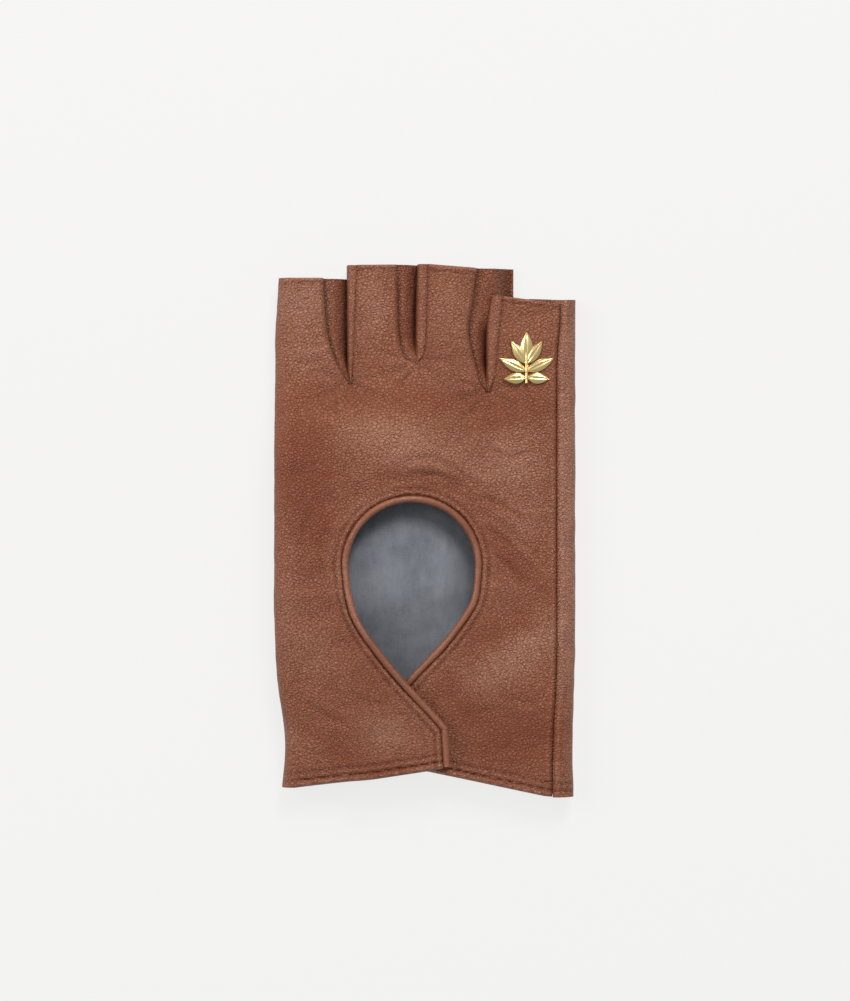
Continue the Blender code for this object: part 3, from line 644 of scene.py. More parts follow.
def flat_pattern(outline, spacing, hole=None):
    """Points and triangles that fill an outline evenly, round a hole where there is one."""
    outline = np.asarray(outline, float)
    keep = np.linalg.norm(outline - np.roll(outline, 1, axis=0), axis=1) > 0.05
    outline = outline[keep]
    low, high = outline.min(0), outline.max(0)
    columns = np.arange(low[0], high[0] + spacing, spacing)
    rows = np.arange(low[1], high[1] + spacing, spacing * 0.87)
    x, y = np.meshgrid(columns, rows)
    x = x + (np.arange(len(rows)) % 2)[:, None] * spacing / 2
    x, y = x.ravel(), y.ravel()
    good = inside(x, y, outline)
    x, y = x[good], y[good]
    good = distance_to(x, y, np.vstack([outline, outline[:1]])) > spacing * 0.55
    x, y = x[good], y[good]
    ring = [(k, (k + 1) % len(outline)) for k in range(len(outline))]
    edges = outline
    if hole is not None:
        good = ~inside(x, y, hole) & (distance_to(x, y, np.vstack([hole, hole[:1]])) > spacing * 0.5)
        x, y = x[good], y[good]
        ring += [(len(outline) + k, len(outline) + (k + 1) % len(hole)) for k in range(len(hole))]
        edges = np.vstack([outline, hole])
    places = np.vstack([edges, np.stack([x, y], 1)])
    found = delaunay_2d_cdt([Vector(p) for p in places], ring, [], 1, 1e-5)
    flat = np.array([tuple(p) for p in found[0]])
    faces = [tuple(face) for face in found[2]]
    if hole is not None:
        centres = flat[np.array(faces)].mean(1)
        taken = inside(centres[:, 0], centres[:, 1], hole)
        faces = [face for face, gone in zip(faces, taken) if not gone]
    return flat, faces


TEST_SQUARE = [(0.0, 0.0), (9.0, 0.0), (9.0, 9.0), (0.0, 9.0)]
print("triangles in a 9 mm square:", len(flat_pattern(TEST_SQUARE, 0.75)[1]))

# %% From a pattern to a piece
WALL_CREASE = math.radians(50.0)


def grid_faces(rows, across, closed=False):
    """Faces between rows of places; in a closed grid each row's ends are joined."""
    faces = []
    for k in range(rows - 1):
        for n in range(across if closed else across - 1):
            m = (n + 1) % across
            faces.append((k * across + n, k * across + m, (k + 1) * across + m, (k + 1) * across + n))
    return faces


def add_piece(name, places, faces, finish, painted_light_and_tone=None, sharp=WALL_CREASE):
    """A mesh object from places in millimetres."""
    mesh = bpy.data.meshes.new(name)
    mesh.from_pydata([tuple(p * MM) for p in np.asarray(places, float)], [], faces)
    if painted_light_and_tone is not None:
        # The shade value: painted shade where it is negative and painted highlight where it is positive,
        # with a little random tone.
        layer = mesh.attributes.new("painted_light_and_tone", "FLOAT", "POINT")
        layer.data.foreach_set("value", np.clip(np.asarray(painted_light_and_tone, np.float32), -1.0, 1.0))
        page = np.asarray(places, float)
        # The sheen value: a broad painted sheen where it is positive and broad painted shade where it is
        # negative.
        shine = mesh.attributes.new("painted_sheen", "FLOAT", "POINT")
        shine.data.foreach_set("value", painted_light_and_swells(page[:, 0], page[:, 1]).astype(np.float32))
    mesh.materials.append(finish)
    mesh.update()
    mesh.shade_smooth()
    mesh.set_sharp_from_angle(angle=sharp)
    return put(name, mesh)


def keep_as_mesh(thing):
    """Keeps what a piece's modifiers make as its own plain mesh."""
    seen = thing.evaluated_get(bpy.context.evaluated_depsgraph_get())
    mesh = bpy.data.meshes.new_from_object(seen)
    thing.modifiers.clear()
    thing.data = mesh


def give_thickness(thing, thickness, side):
    """Turns an open sheet into a wall and keeps the result as a plain mesh."""
    wall = thing.modifiers.new("wall", "SOLIDIFY")
    wall.thickness = thickness * MM
    wall.offset = side
    keep_as_mesh(thing)
    thing.data.set_sharp_from_angle(angle=WALL_CREASE)
    return thing


def sheet(name, outline, shape, finish, spacing=0.75, thickness=LEATHER, outer=1.0, hole=None):
    """A leather piece over an outline; shape gives each point's place and its shade value of painted light.

    outer is 1 where the outside looks up and -1 where it looks down.
    """
    flat, faces = flat_pattern(outline, spacing, hole)
    places, painted_light_and_tone = shape(flat[:, 0], flat[:, 1])
    piece = add_piece(name, places, faces, finish, painted_light_and_tone)
    facing = sum(face.normal.z * face.area for face in piece.data.polygons)
    if facing * outer < 0.0:
        piece.data.flip_normals()
    give_thickness(piece, thickness, -1.0)
    print(name, len(faces), "triangles in its face")
    return piece


print("leather", LEATHER, "mm thick, lining", LINING, "mm")

# %% [markdown]
# ## The leather's relief
# The same few marks make every edge look sewn. A turned edge stands as a soft ridge, its stitch line
# pulls a narrow groove, and between two stitches the leather puckers a little. The names that end in AT
# say how far in from an edge each mark lies, in millimetres.

# %% Relief of sewn edges
STITCH_PITCH = 1.9
RIM_RIDGE_AT, RIM_STITCH_AT = 1.0, 2.1
HEM_BEAD_AT, HEM_GROOVE_AT, HEM_RIDGE_AT, HEM_STITCH_AT = 0.9, 2.15, 3.1, 4.3
END_STITCH_AT = 1.6


def pucker(along):
    """Small swellings between stitches along a seam."""
    return 0.5 * (1.0 + np.cos(2.0 * math.pi * along / STITCH_PITCH))


def side_pucker(y):
    """Puckers along the side seam, a little uneven in their spacing."""
    return pucker(y * 0.9 + 0.6 * np.sin(y / 7.0))


def sewn_edge(distance, along, stitch_at, ridge_at, ridge_height):
    """Height of a turned and stitched edge at a distance from it."""
    height = ridge_height * bump(distance, ridge_at, 1.15)
    height -= 0.34 * bump(distance, stitch_at, 0.40)
    height += 0.10 * pucker(along) * bump(distance, stitch_at + 0.9, 0.8)
    height += 0.10 * pucker(along) * bump(distance, stitch_at - 0.8, 0.6)
    return height


def rolled_down(distance, radius):
    """How far a leather edge drops as it rolls over, within a radius of the edge."""
    share = np.clip(1.0 - distance / radius, 0.0, 1.0)
    return radius * (1.0 - np.sqrt(np.clip(1.0 - share**2, 0.0, 1.0)))


rim_bead = np.vstack([under_flap_edge[::-1], keyhole_arch, top_flap_edge])
all_gap_lines = {name: (gap["crease"], gap["seam"]) for name, gap in GAPS.items()}
print("stitches every", STITCH_PITCH, "mm")

# %% [markdown]
# ## Drawn folds and wrinkles
# Each fold is a path across the skin with a depth and a width. Wrinkles fan out from the keyhole and from
# the webs between the fingers, where the sewing pulls at the skin.

# %% Folds and wrinkles
CREASES = [
    ([(-42.0, 61.5), (-36.0, 60.0), (-31.0, 61.5)], 0.2, 0.5),
    ([(-43.0, 67.0), (-38.0, 65.8), (-34.5, 66.6)], 0.16, 0.45),
    ([(-39.0, 56.0), (-33.0, 54.8), (-27.5, 57.0)], 0.22, 0.5),
    ([(-42.0, 51.0), (-35.0, 50.0), (-28.0, 52.0)], 0.2, 0.6),
    ([(-36.5, 70.5), (-33.5, 68.0), (-32.0, 64.0)], 0.14, 0.45),
    ([(-24.5, 43.5), (-29.0, 40.5), (-36.0, 39.0)], 0.2, 0.7),
    ([(-20.5, 43.0), (-15.0, 40.0), (-9.0, 39.0)], 0.16, 0.6),
    ([(0.5, 47.0), (6.0, 43.0), (12.0, 41.5)], 0.16, 0.6),
    ([(-8.0, 20.0), (0.0, 21.5), (9.0, 18.5), (15.0, 13.0)], 0.4, 0.95),
    ([(-3.0, 16.6), (5.0, 16.2), (11.0, 12.8)], 0.3, 0.7),
    ([(17.5, 5.0), (24.0, 1.0), (33.0, -8.0)], 0.3, 0.75),
    ([(19.5, 0.0), (25.0, -4.0), (34.0, -14.5)], 0.36, 0.8),
    ([(19.5, -6.0), (25.0, -11.0), (32.0, -20.0)], 0.28, 0.75),
    ([(14.5, 10.0), (22.0, 8.0), (31.0, 2.0)], 0.26, 0.8),
    ([(-28.0, 4.0), (-31.0, -6.0), (-29.0, -18.0)], 0.26, 0.8),
    ([(-27.0, -6.0), (-27.0, -14.0), (-22.0, -23.0)], 0.24, 0.7),
    ([(-33.0, 8.0), (-37.0, -3.0), (-36.0, -16.0)], 0.2, 0.9),
    ([(13.0, -36.0), (19.0, -42.0), (22.0, -50.0)], 0.22, 0.8),
    ([(17.0, 26.0), (25.0, 22.0), (34.0, 24.0)], 0.2, 0.8),
    ([(-22.0, -49.0), (-15.0, -52.0), (-8.0, -50.5)], 0.2, 0.9),
    ([(-38.0, -50.0), (-30.0, -56.0), (-22.0, -58.0)], 0.26, 1.0),
    ([(24.0, -50.0), (30.0, -52.0), (36.0, -50.0)], 0.22, 0.9),
]


WEBS = [(-22.4, 45.0, 0.15), (-2.8, 50.6, 0.0), (18.8, 42.6, -0.1)]


def creases(x, y):
    """Drawn folds of the skin, each a narrow valley between two low banks."""
    form = np.zeros(np.shape(x))
    for points, deep, wide in CREASES:
        path = curve_through(points, 1.0)
        away = distance_to(x, y, path)
        ends = np.minimum(
            np.hypot(x - path[0, 0], y - path[0, 1]), np.hypot(x - path[-1, 0], y - path[-1, 1])
        )
        fade = smooth(0.0, 4.0, ends)
        form += deep * fade * (0.75 * bump(away, wide * 2.6, wide * 1.5) - bump(away, 0.0, wide))
    return form


def soft_form(x, y):
    """Hollows, wrinkles and drawn skin that every back piece shares, in millimetres."""
    form = 0.34 * waves(x, y, 34.0, 3) + 0.15 * waves(x, y, 13.0, 5) + creases(x, y)
    form += 0.45 * painted_light_and_swells(x, y - 3.0)
    form += 0.055 * waves(x, y, 5.2, 7, 9) + 0.045 * waves(x * 1.5 + y * 0.6, y * 0.7 - x * 0.4, 2.6, 11, 9)
    radius = np.hypot(x - KEYHOLE_X, y - KEYHOLE_Y)
    turn = np.arctan2(y - KEYHOLE_Y, x - KEYHOLE_X)
    drawn = smooth(21.5, 25.0, radius) * (1.0 - smooth(30.0, 52.0, radius))
    form += (
        0.20 * drawn * np.sin(turn * 17.0 + 1.3 * np.sin(radius / 6.0) + 0.8)
        * (0.6 + 0.4 * waves(x, y, 22.0, 13))
    )
    arch_fold = (
        bump(radius, 32.0 + 2.0 * np.sin(turn * 3.0), 2.4) * smooth(0.3, 1.1, turn)
        * (1.0 - smooth(1.5, 2.6, turn))
    )
    form += (
        0.42 * arch_fold
        - 0.30 * bump(radius, 27.6, 2.2) * smooth(0.3, 1.1, turn) * (1.0 - smooth(2.0, 2.9, turn))
    )
    for web_x, web_y, lean in WEBS:
        dx, dy = x - web_x, y - web_y
        spread = np.hypot(dx, dy)
        fan = np.arctan2(dx + lean * dy, -dy)
        form += 0.24 * np.cos(fan * 9.0 + 0.5 * spread / 4.0) * bump(spread, 6.5, 5.0) * (np.abs(fan) < 1.9)
        form -= 0.75 * np.exp(-((spread / 3.6) ** 2))
    return form


print("drawn folds:", len(CREASES), "and webs:", len(WEBS))

# %% Height of the back's leather
RIM_RUN = 22.0


def back_height(x, y, flap=None):
    """Height of the back's leather at places in millimetres, and its shade value of painted light."""
    level = TOP + lift(x, y)
    if flap == "top":
        level = level + rise(x)
    painted_light_and_tone = np.zeros(np.shape(x))
    shape = soft_form(x, y)
    calm = np.ones(np.shape(x))
    rim = {
        "top": np.vstack([keyhole_arch, top_flap_edge]),
        "under": np.vstack([under_flap_edge[::-1], keyhole_arch]),
    }.get(flap, rim_bead)
    d = distance_to(x, y, rim) - 2 * BEAD
    along = np.arctan2(y - KEYHOLE_Y, x - KEYHOLE_X) * RIM_RUN if flap is None else (x - y) * 0.72
    shape = shape + sewn_edge(d, along, RIM_STITCH_AT, RIM_RIDGE_AT, 0.42)
    shape = shape - 0.9 * rolled_down(np.maximum(d, 0.0), 0.8)
    # The shade value paints light along every sewn edge: painted shade in stitch grooves, seams, slits and
    # at the rim's edge, painted highlight on ridges and beads, and a share of the soft form so its hollows
    # get painted shade.
    painted_light_and_tone += 0.55 * bump(d, RIM_RIDGE_AT, 0.7) - 0.8 * bump(d, RIM_STITCH_AT, 0.38)
    painted_light_and_tone -= 0.55 * bump(d, 0.0, 0.35)
    painted_light_and_tone += 0.25 * bump(d, 3.3, 0.9)
    hem = hem_right if flap == "under" else hem_left
    h = distance_to(x, y, hem)
    if flap is None:
        h = np.where(x > 0.0, distance_to(x, y, hem_right), h)
    shape = shape + 0.55 * bump(h, HEM_BEAD_AT, 0.8) - 0.55 * bump(h, HEM_GROOVE_AT, 0.32)
    shape = shape + 0.22 * bump(h, HEM_RIDGE_AT, 0.6) - 0.34 * bump(h, HEM_STITCH_AT, 0.38)
    shape = shape + 0.10 * pucker(x) * (bump(h, 5.2, 0.7) + bump(h, 3.4, 0.5))
    shape = shape - 1.2 * rolled_down(h, 0.9)
    painted_light_and_tone += 0.35 * bump(h, HEM_BEAD_AT, 0.5) - 1.0 * bump(h, HEM_GROOVE_AT, 0.3)
    painted_light_and_tone += 0.3 * bump(h, HEM_RIDGE_AT, 0.4) - 0.7 * bump(h, HEM_STITCH_AT, 0.35)
    if flap is None:
        top_y = np.select(
            [x < -21.5, x < 0.0, x < 19.0],
            [INDEX_TOP_Y, 79.9, 79.9 - 0.075 * x],
            70.7 - 0.115 * (x - 20.0),
        )
        e = top_y - y
        shape = shape - 0.30 * bump(e, END_STITCH_AT, 0.38) + 0.22 * bump(e, 0.7, 0.5)
        shape = shape - 1.0 * rolled_down(np.maximum(e, 0.0), 0.7) + 0.10 * pucker(x) * bump(e, 2.6, 0.8)
        painted_light_and_tone += -0.65 * bump(e, END_STITCH_AT, 0.33) + 0.3 * bump(e, 0.7, 0.4)
        s = seam(y) - x
        shape = shape - 0.75 * rolled_down(np.maximum(s, 0.0), 1.2) + 0.24 * bump(s, 1.9, 1.0)
        seam_pucker = side_pucker(y)
        shape = shape + 0.22 * seam_pucker * bump(s, 1.3, 1.1) * (0.7 + 0.3 * waves(x, y, 9.0, 23))
        painted_light_and_tone += -0.75 * bump(s, 0.0, 0.45) - 0.20 * bump(s, 2.5, 0.5)
        painted_light_and_tone += 0.35 * seam_pucker * bump(s, 1.3, 0.8)
        for crease, seam_line in all_gap_lines.values():
            c = distance_to(x, y, crease)
            shape = shape - 1.0 * rolled_down(c, 1.3) + 0.18 * bump(c, 2.4, 1.2)
            painted_light_and_tone += 0.35 * bump(c, 0.9, 0.6)
            m = distance_to(x, y, seam_line)
            shape = shape - 0.55 * rolled_down(m, 0.8) + 0.10 * bump(m, 1.4, 0.8)
            painted_light_and_tone -= 0.8 * bump(m, 0.0, 0.45)
        fold = x - left_edge(y)
        calm = smooth(0.0, 7.0, fold)
    painted_light_and_tone += 0.22 * soft_form(x, y)
    return level + shape * calm, painted_light_and_tone


def wrap(u, edge, side, level, deep):
    """Carries flat places past an edge round a half-ellipse down the glove's side."""
    radius = deep / 2.0
    start = edge - side * radius
    past = (u - start) * side
    turn = np.clip(past / radius, 0.0, math.pi)
    x = np.where(past > 0.0, start + side * radius * np.sin(turn), u)
    drop = np.where(past > 0.0, radius * (1.0 - np.cos(turn)), 0.0)
    return x, level - drop


level_here = float(back_height(np.array([30.0]), np.array([20.0]))[0][0])
print("height of the back beside the keyhole:", round(level_here, 2), "mm")

# %% [markdown]
# ## The back
# The back is one skin round the keyhole. It ends at the seam by the little finger, and on the index side
# it folds round the edge, so its pattern is wider than the glove.

# %% Back leather
SIDE_DEPTH = 8.2
FOLD_REACH = math.pi * SIDE_DEPTH / 2.0
SPLIT_LEFT, SPLIT_RIGHT, SPLIT_Y = -28.0, 20.0, -8.0


def hem_y(x):
    """The hem's height on the page at a place across the glove."""
    left = np.interp(x, hem_left[:, 0], hem_left[:, 1])
    right = np.interp(x, hem_right[:, 0], hem_right[:, 1])
    return left if x < 0.0 else right


def gap_ring(name):
    """Down a gap's crease to its web and up the next finger's seam."""
    crease, seam_line = all_gap_lines[name]
    return np.vstack([crease, seam_line[::-1][1:]])


def fold_end(y):
    """Where the pattern ends once it has gone round the index side."""
    return left_edge(y) + SIDE_DEPTH / 2.0 - FOLD_REACH


def back_outline():
    """The back's pattern, from the hem up round the keyhole, the seam and the finger tops."""
    outer = KEYHOLE_R + 2 * BEAD
    level = math.degrees(math.asin((SPLIT_Y - KEYHOLE_Y) / outer))
    turns = np.radians(np.linspace(180.0 - level, level, 90))
    arch = np.stack([KEYHOLE_X + outer * np.cos(turns), KEYHOLE_Y + outer * np.sin(turns)], 1)
    fold_start = (float(fold_end(LEFT_HEM_Y)), LEFT_HEM_Y)
    low_left = polyline([fold_start, (-39.1, LEFT_HEM_Y), (SPLIT_LEFT, hem_y(SPLIT_LEFT))])
    to_arch = polyline([(SPLIT_LEFT, hem_y(SPLIT_LEFT)), (SPLIT_LEFT, SPLIT_Y), tuple(arch[0])])
    to_hem = polyline([tuple(arch[-1]), (SPLIT_RIGHT, SPLIT_Y), (SPLIT_RIGHT, hem_y(SPLIT_RIGHT))])
    ys = np.arange(-80.0, 68.5, 0.8)
    seam_side = np.stack([seam(ys), ys], 1)
    low_right = polyline([(SPLIT_RIGHT, hem_y(SPLIT_RIGHT)), (35.3, -79.7), tuple(seam_side[0])])
    tops = polyline([tuple(seam_side[-1]), (23.2, 70.5)])
    ring = gap_ring("ring_little")[::-1]
    tops = np.vstack([tops, ring, polyline([(15.6, 78.9), (0.8, 80.1)]), gap_ring("middle_ring")[::-1]])
    tops = np.vstack([tops, polyline([(-8.5, 79.9), (-20.5, 79.8)]), gap_ring("index_middle")[::-1]])
    fold_ys = np.arange(INDEX_TOP_Y, LEFT_HEM_Y, -0.8)
    fold_side = np.stack([fold_end(fold_ys), fold_ys], 1)
    tops = np.vstack([tops, polyline([(-30.5, INDEX_TOP_Y), tuple(fold_side[0])]), fold_side])
    return np.vstack([low_left, to_arch, arch, to_hem, low_right, seam_side, tops])


def back_shape(u, y):
    """Places of the back's leather, folded round the index side, and its shade value of painted light."""
    height, painted_light_and_tone = back_height(np.maximum(u, left_edge(y) + 0.5), y)
    x, z = wrap(u, left_edge(y), -1.0, height, SIDE_DEPTH)
    bulge = 0.08 * waves(y * 0.0 + 3.0, y, 17.0, 31) + 0.04 * waves(u, y, 6.0, 37)
    return np.stack([x + bulge * (x < -43.0), y, np.maximum(z, 0.02)], 1), painted_light_and_tone


back_leather = sheet("back_leather", back_outline(), back_shape, lambskin)
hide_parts("back_panel")
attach(back_leather, "root")
print("the pattern goes", round(FOLD_REACH, 1), "mm round the index side")

# %% [markdown]
# ## The wrist flaps
# Each flap grows out of the back, so its leather has to bend where the flap folds open. The flap is a
# piece of its own, baked in place as it lies; it is not handed to the flap's body.

# %% Flap patterns


def arch_split(side):
    """Where the leather's edge round the keyhole meets the split line, on the left (-1) or right (1)."""
    outer = KEYHOLE_R + 2 * BEAD
    return (KEYHOLE_X + side * math.sqrt(outer**2 - (SPLIT_Y - KEYHOLE_Y) ** 2), SPLIT_Y)


def on_hem(hem, start, end):
    """A run along a hem between two places across the glove."""
    xs = np.linspace(start, end, max(2, int(abs(end - start) / 0.8)))
    return np.stack([xs, np.interp(xs, hem[:, 0], hem[:, 1])], 1)


def top_flap_pattern():
    """From the split line down the keyhole's edge to the corner, and back along the hem."""
    edge = offset(top_flap_edge, -2 * BEAD)
    corner = polyline([tuple(edge[-1]), (5.6, -71.2)])
    start = polyline([(SPLIT_LEFT, -75.9), (SPLIT_LEFT, SPLIT_Y), arch_split(-1)])
    return np.vstack([start, edge[edge[:, 1] < SPLIT_Y - 1.0], corner, on_hem(hem_left, 5.4, SPLIT_LEFT)])


def under_flap_pattern():
    """The same for the under flap, which ends under the top flap."""
    edge = offset(under_flap_edge, 2 * BEAD)
    low = polyline([tuple(edge[-1]), (-15.9, -58.5), (-15.9, -68.8)])
    start = polyline([(SPLIT_RIGHT, -76.4), (SPLIT_RIGHT, SPLIT_Y), arch_split(1)])
    return np.vstack([start, edge[edge[:, 1] < SPLIT_Y - 1.0], low, on_hem(hem_right, -15.9, SPLIT_RIGHT)])


def flap_shape(flap):
    """The formula that places one flap's leather."""

    def shape(x, y):
        z, painted_light_and_tone = back_height(x, y, flap)
        return np.stack([x, y, z], 1), painted_light_and_tone

    return shape


def ride_flap(piece, body, along):
    """Bakes a piece's place into its mesh."""
    start, end = along
    tuple(v * MM for v in start)
    tuple(v * MM for v in end)
    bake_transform(piece)


print("split lines at x", SPLIT_LEFT, "and", SPLIT_RIGHT)

# %% Flap leather
LEFT_FOLD = ((SPLIT_LEFT, 0.0, 0.0), (-22.2, 0.0, 0.0))
RIGHT_FOLD = ((SPLIT_RIGHT, 0.0, 0.0), (14.6, 0.0, 0.0))
top_flap_leather = sheet("top_flap_leather", top_flap_pattern(), flap_shape("top"), lambskin, 0.62)
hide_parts("top_flap")
ride_flap(top_flap_leather, "top_flap_body", LEFT_FOLD)
under_flap_leather = sheet("under_flap_leather", under_flap_pattern(), flap_shape("under"), lambskin, 0.62)
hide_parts("under_flap")
ride_flap(under_flap_leather, "under_flap_body", RIGHT_FOLD)
print("flap faces:", len(top_flap_leather.data.polygons), len(under_flap_leather.data.polygons))

# %% [markdown]
# ## Rolled bindings
# The keyhole's edge is bound with a narrow strip that is rolled over the raw edge. A swept ring of points
# makes the roll, and its radius swells slightly between stitches. The rolls of the two flaps start a little
# below the arch's middle and are baked in place.

# %% Roll maker


def roll_along(name, places, radius, finish, around=16):
    """A closed roll through places in millimetres, swelling a little between stitches."""
    places = np.asarray(places, float)
    along = np.gradient(places, axis=0)
    along /= np.linalg.norm(along, axis=1)[:, None]
    sideways = np.cross(along, (0.0, 0.0, 1.0))
    sideways /= np.linalg.norm(sideways, axis=1)[:, None]
    upwards = np.cross(sideways, along)
    run = np.concatenate([[0.0], np.cumsum(np.linalg.norm(np.diff(places, axis=0), axis=1))])
    swell = radius * (1.0 + 0.045 * np.cos(2.0 * math.pi * run / STITCH_PITCH) + 0.035 * np.sin(run / 2.7))
    turn = 2.0 * math.pi * np.arange(around) / around
    circle = (
        np.cos(turn)[None, :, None] * sideways[:, None, :]
        + np.sin(turn)[None, :, None] * upwards[:, None, :]
    )
    rings = places[:, None, :] + swell[:, None, None] * circle
    count = len(places)
    faces = grid_faces(count, around, True)
    faces.append(tuple(range(around))[::-1])
    faces.append(tuple((count - 1) * around + n for n in range(around)))
    # The shade value paints highlight along the roll's top and shade along its underside.
    painted_light_and_tone = np.tile(0.35 * np.sin(turn) ** 3, count)
    piece = add_piece(name, rings.reshape(-1, 3), faces, finish, painted_light_and_tone)
    outward = sum(
        f.normal.dot(f.center - Vector(places[0] * MM)) for f in list(piece.data.polygons)[:around]
    )
    if outward < 0.0:
        piece.data.flip_normals()
    return piece


BEAD_LEVEL = TOP - 0.30
BEND_Y, BEND_END_Y = -4.0, -20.0
ROLL_BEND = ((0.0, BEND_Y, 0.0), (0.0, BEND_END_Y, 0.0))


def bead_places(path, flap=None):
    """The middle of a roll along a path, at the level of the leather that it binds."""
    height = BEAD_LEVEL + lift(path[:, 0], path[:, 1]) + 0.12 * waves(path[:, 0], path[:, 1], 14.0, 41)
    if flap == "top":
        height = height + rise(path[:, 0])
    return np.column_stack([path, height])


print("middle of the rolls", round(BEAD_LEVEL, 2), "mm up")

# %% Rolled edges of the keyhole and flaps
arch_bead = offset(keyhole_arch, -BEAD)
upper = arch_bead[arch_bead[:, 1] >= BEND_Y]
left_part = arch_bead[(arch_bead[:, 1] < BEND_Y + 0.9) & (arch_bead[:, 0] < KEYHOLE_X)]
right_part = arch_bead[(arch_bead[:, 1] < BEND_Y + 0.9) & (arch_bead[:, 0] > KEYHOLE_X)][::-1]
top_path = np.vstack([left_part[:-1], offset(top_flap_edge, -BEAD)])
under_path = np.vstack([right_part[:-1], offset(under_flap_edge, BEAD)])
keyhole_roll = roll_along("keyhole_roll", bead_places(upper), BEAD, bead_skin)
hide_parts("keyhole_binding")
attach(keyhole_roll, "root")
top_roll = roll_along("top_flap_roll", bead_places(top_path, "top"), BEAD, bead_skin)
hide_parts("top_flap_binding")
ride_flap(top_roll, "top_flap_body", ROLL_BEND)
under_roll = roll_along("under_flap_roll", bead_places(under_path), BEAD, bead_skin)
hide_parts("under_flap_binding")
ride_flap(under_roll, "under_flap_body", ROLL_BEND)
print("rolled edges:", len(keyhole_roll.data.polygons) + len(top_roll.data.polygons), "faces")

# %% [markdown]
# ## The palm
# The palm's leather starts under the fold at the index side, crosses the palm, rolls round the little-
# finger edge and comes up to the seam on the back. It has a hole for the thumb, and the elastic gathers
# it at the wrist.

# %% Palm pattern
THUMB_X, THUMB_Y = -29.5, -26.0
THUMB_HOLE = 8.0
ROLL_R = 4.1
hole_turn = 2.0 * math.pi * np.arange(64) / 64
thumb_hole = np.stack(
    [THUMB_X + THUMB_HOLE * np.cos(hole_turn), THUMB_Y + THUMB_HOLE * np.sin(hole_turn)], 1
)
PALM_SLOTS = [(-23.8, 46.0, 75.4, 79.4), (-2.4, 51.0, 79.4, 79.6), (18.95, 43.2, 78.4, 70.2)]
SLOT_HALF = 0.35


def palm_outline(inset, right_end):
    """The palm's pattern; right_end gives its far side, as a place along the pattern for each row."""
    low = -80.2 + inset
    left = -41.2 + inset
    ys = np.arange(low, 69.5 - inset, 0.9)
    far = np.stack([right_end(ys), ys], 1)
    hem = np.vstack([on_hem(hem_left, left, 0.0), on_hem(hem_right, 0.9, 41.0)])
    hem[:, 1] += 0.5 + inset
    hem = np.vstack([hem, polyline([tuple(hem[-1]), tuple(far[0])])[1:]])
    tops = [polyline([tuple(far[-1]), (PALM_SLOTS[2][0] + SLOT_HALF + inset, PALM_SLOTS[2][3] - inset)])]
    for x, web, left_top, right_top in PALM_SLOTS[::-1]:
        wide = SLOT_HALF + inset
        down = [(x + wide, right_top - inset), (x + wide, web), (x, web - 0.8 - inset)]
        tops.append(polyline(down + [(x - wide, web), (x - wide, left_top - inset)]))
    index_top = 75.4 - inset
    index_right = PALM_SLOTS[0][0] - SLOT_HALF - inset
    tops.append(polyline([(index_right, index_top), (left, index_top), tuple(hem[0])])[:-1])
    return np.vstack([hem[:-1], far, *tops])


def palm_far_side(y):
    """Where the pattern ends once it has rolled round the edge and come back to the seam."""
    start = right_edge(y) - ROLL_R
    return start + math.pi * ROLL_R + (start - seam(y)) - 0.1


print("thumb hole:", 2 * THUMB_HOLE, "mm across")

# %% Palm leather
GATHER_Y = -62.5


def gathers(u, y):
    """The waves that the elastic draws across the wrist, before their height is set."""
    return np.sin(u * 2.05 + 1.2 * np.sin(y / 4.0))


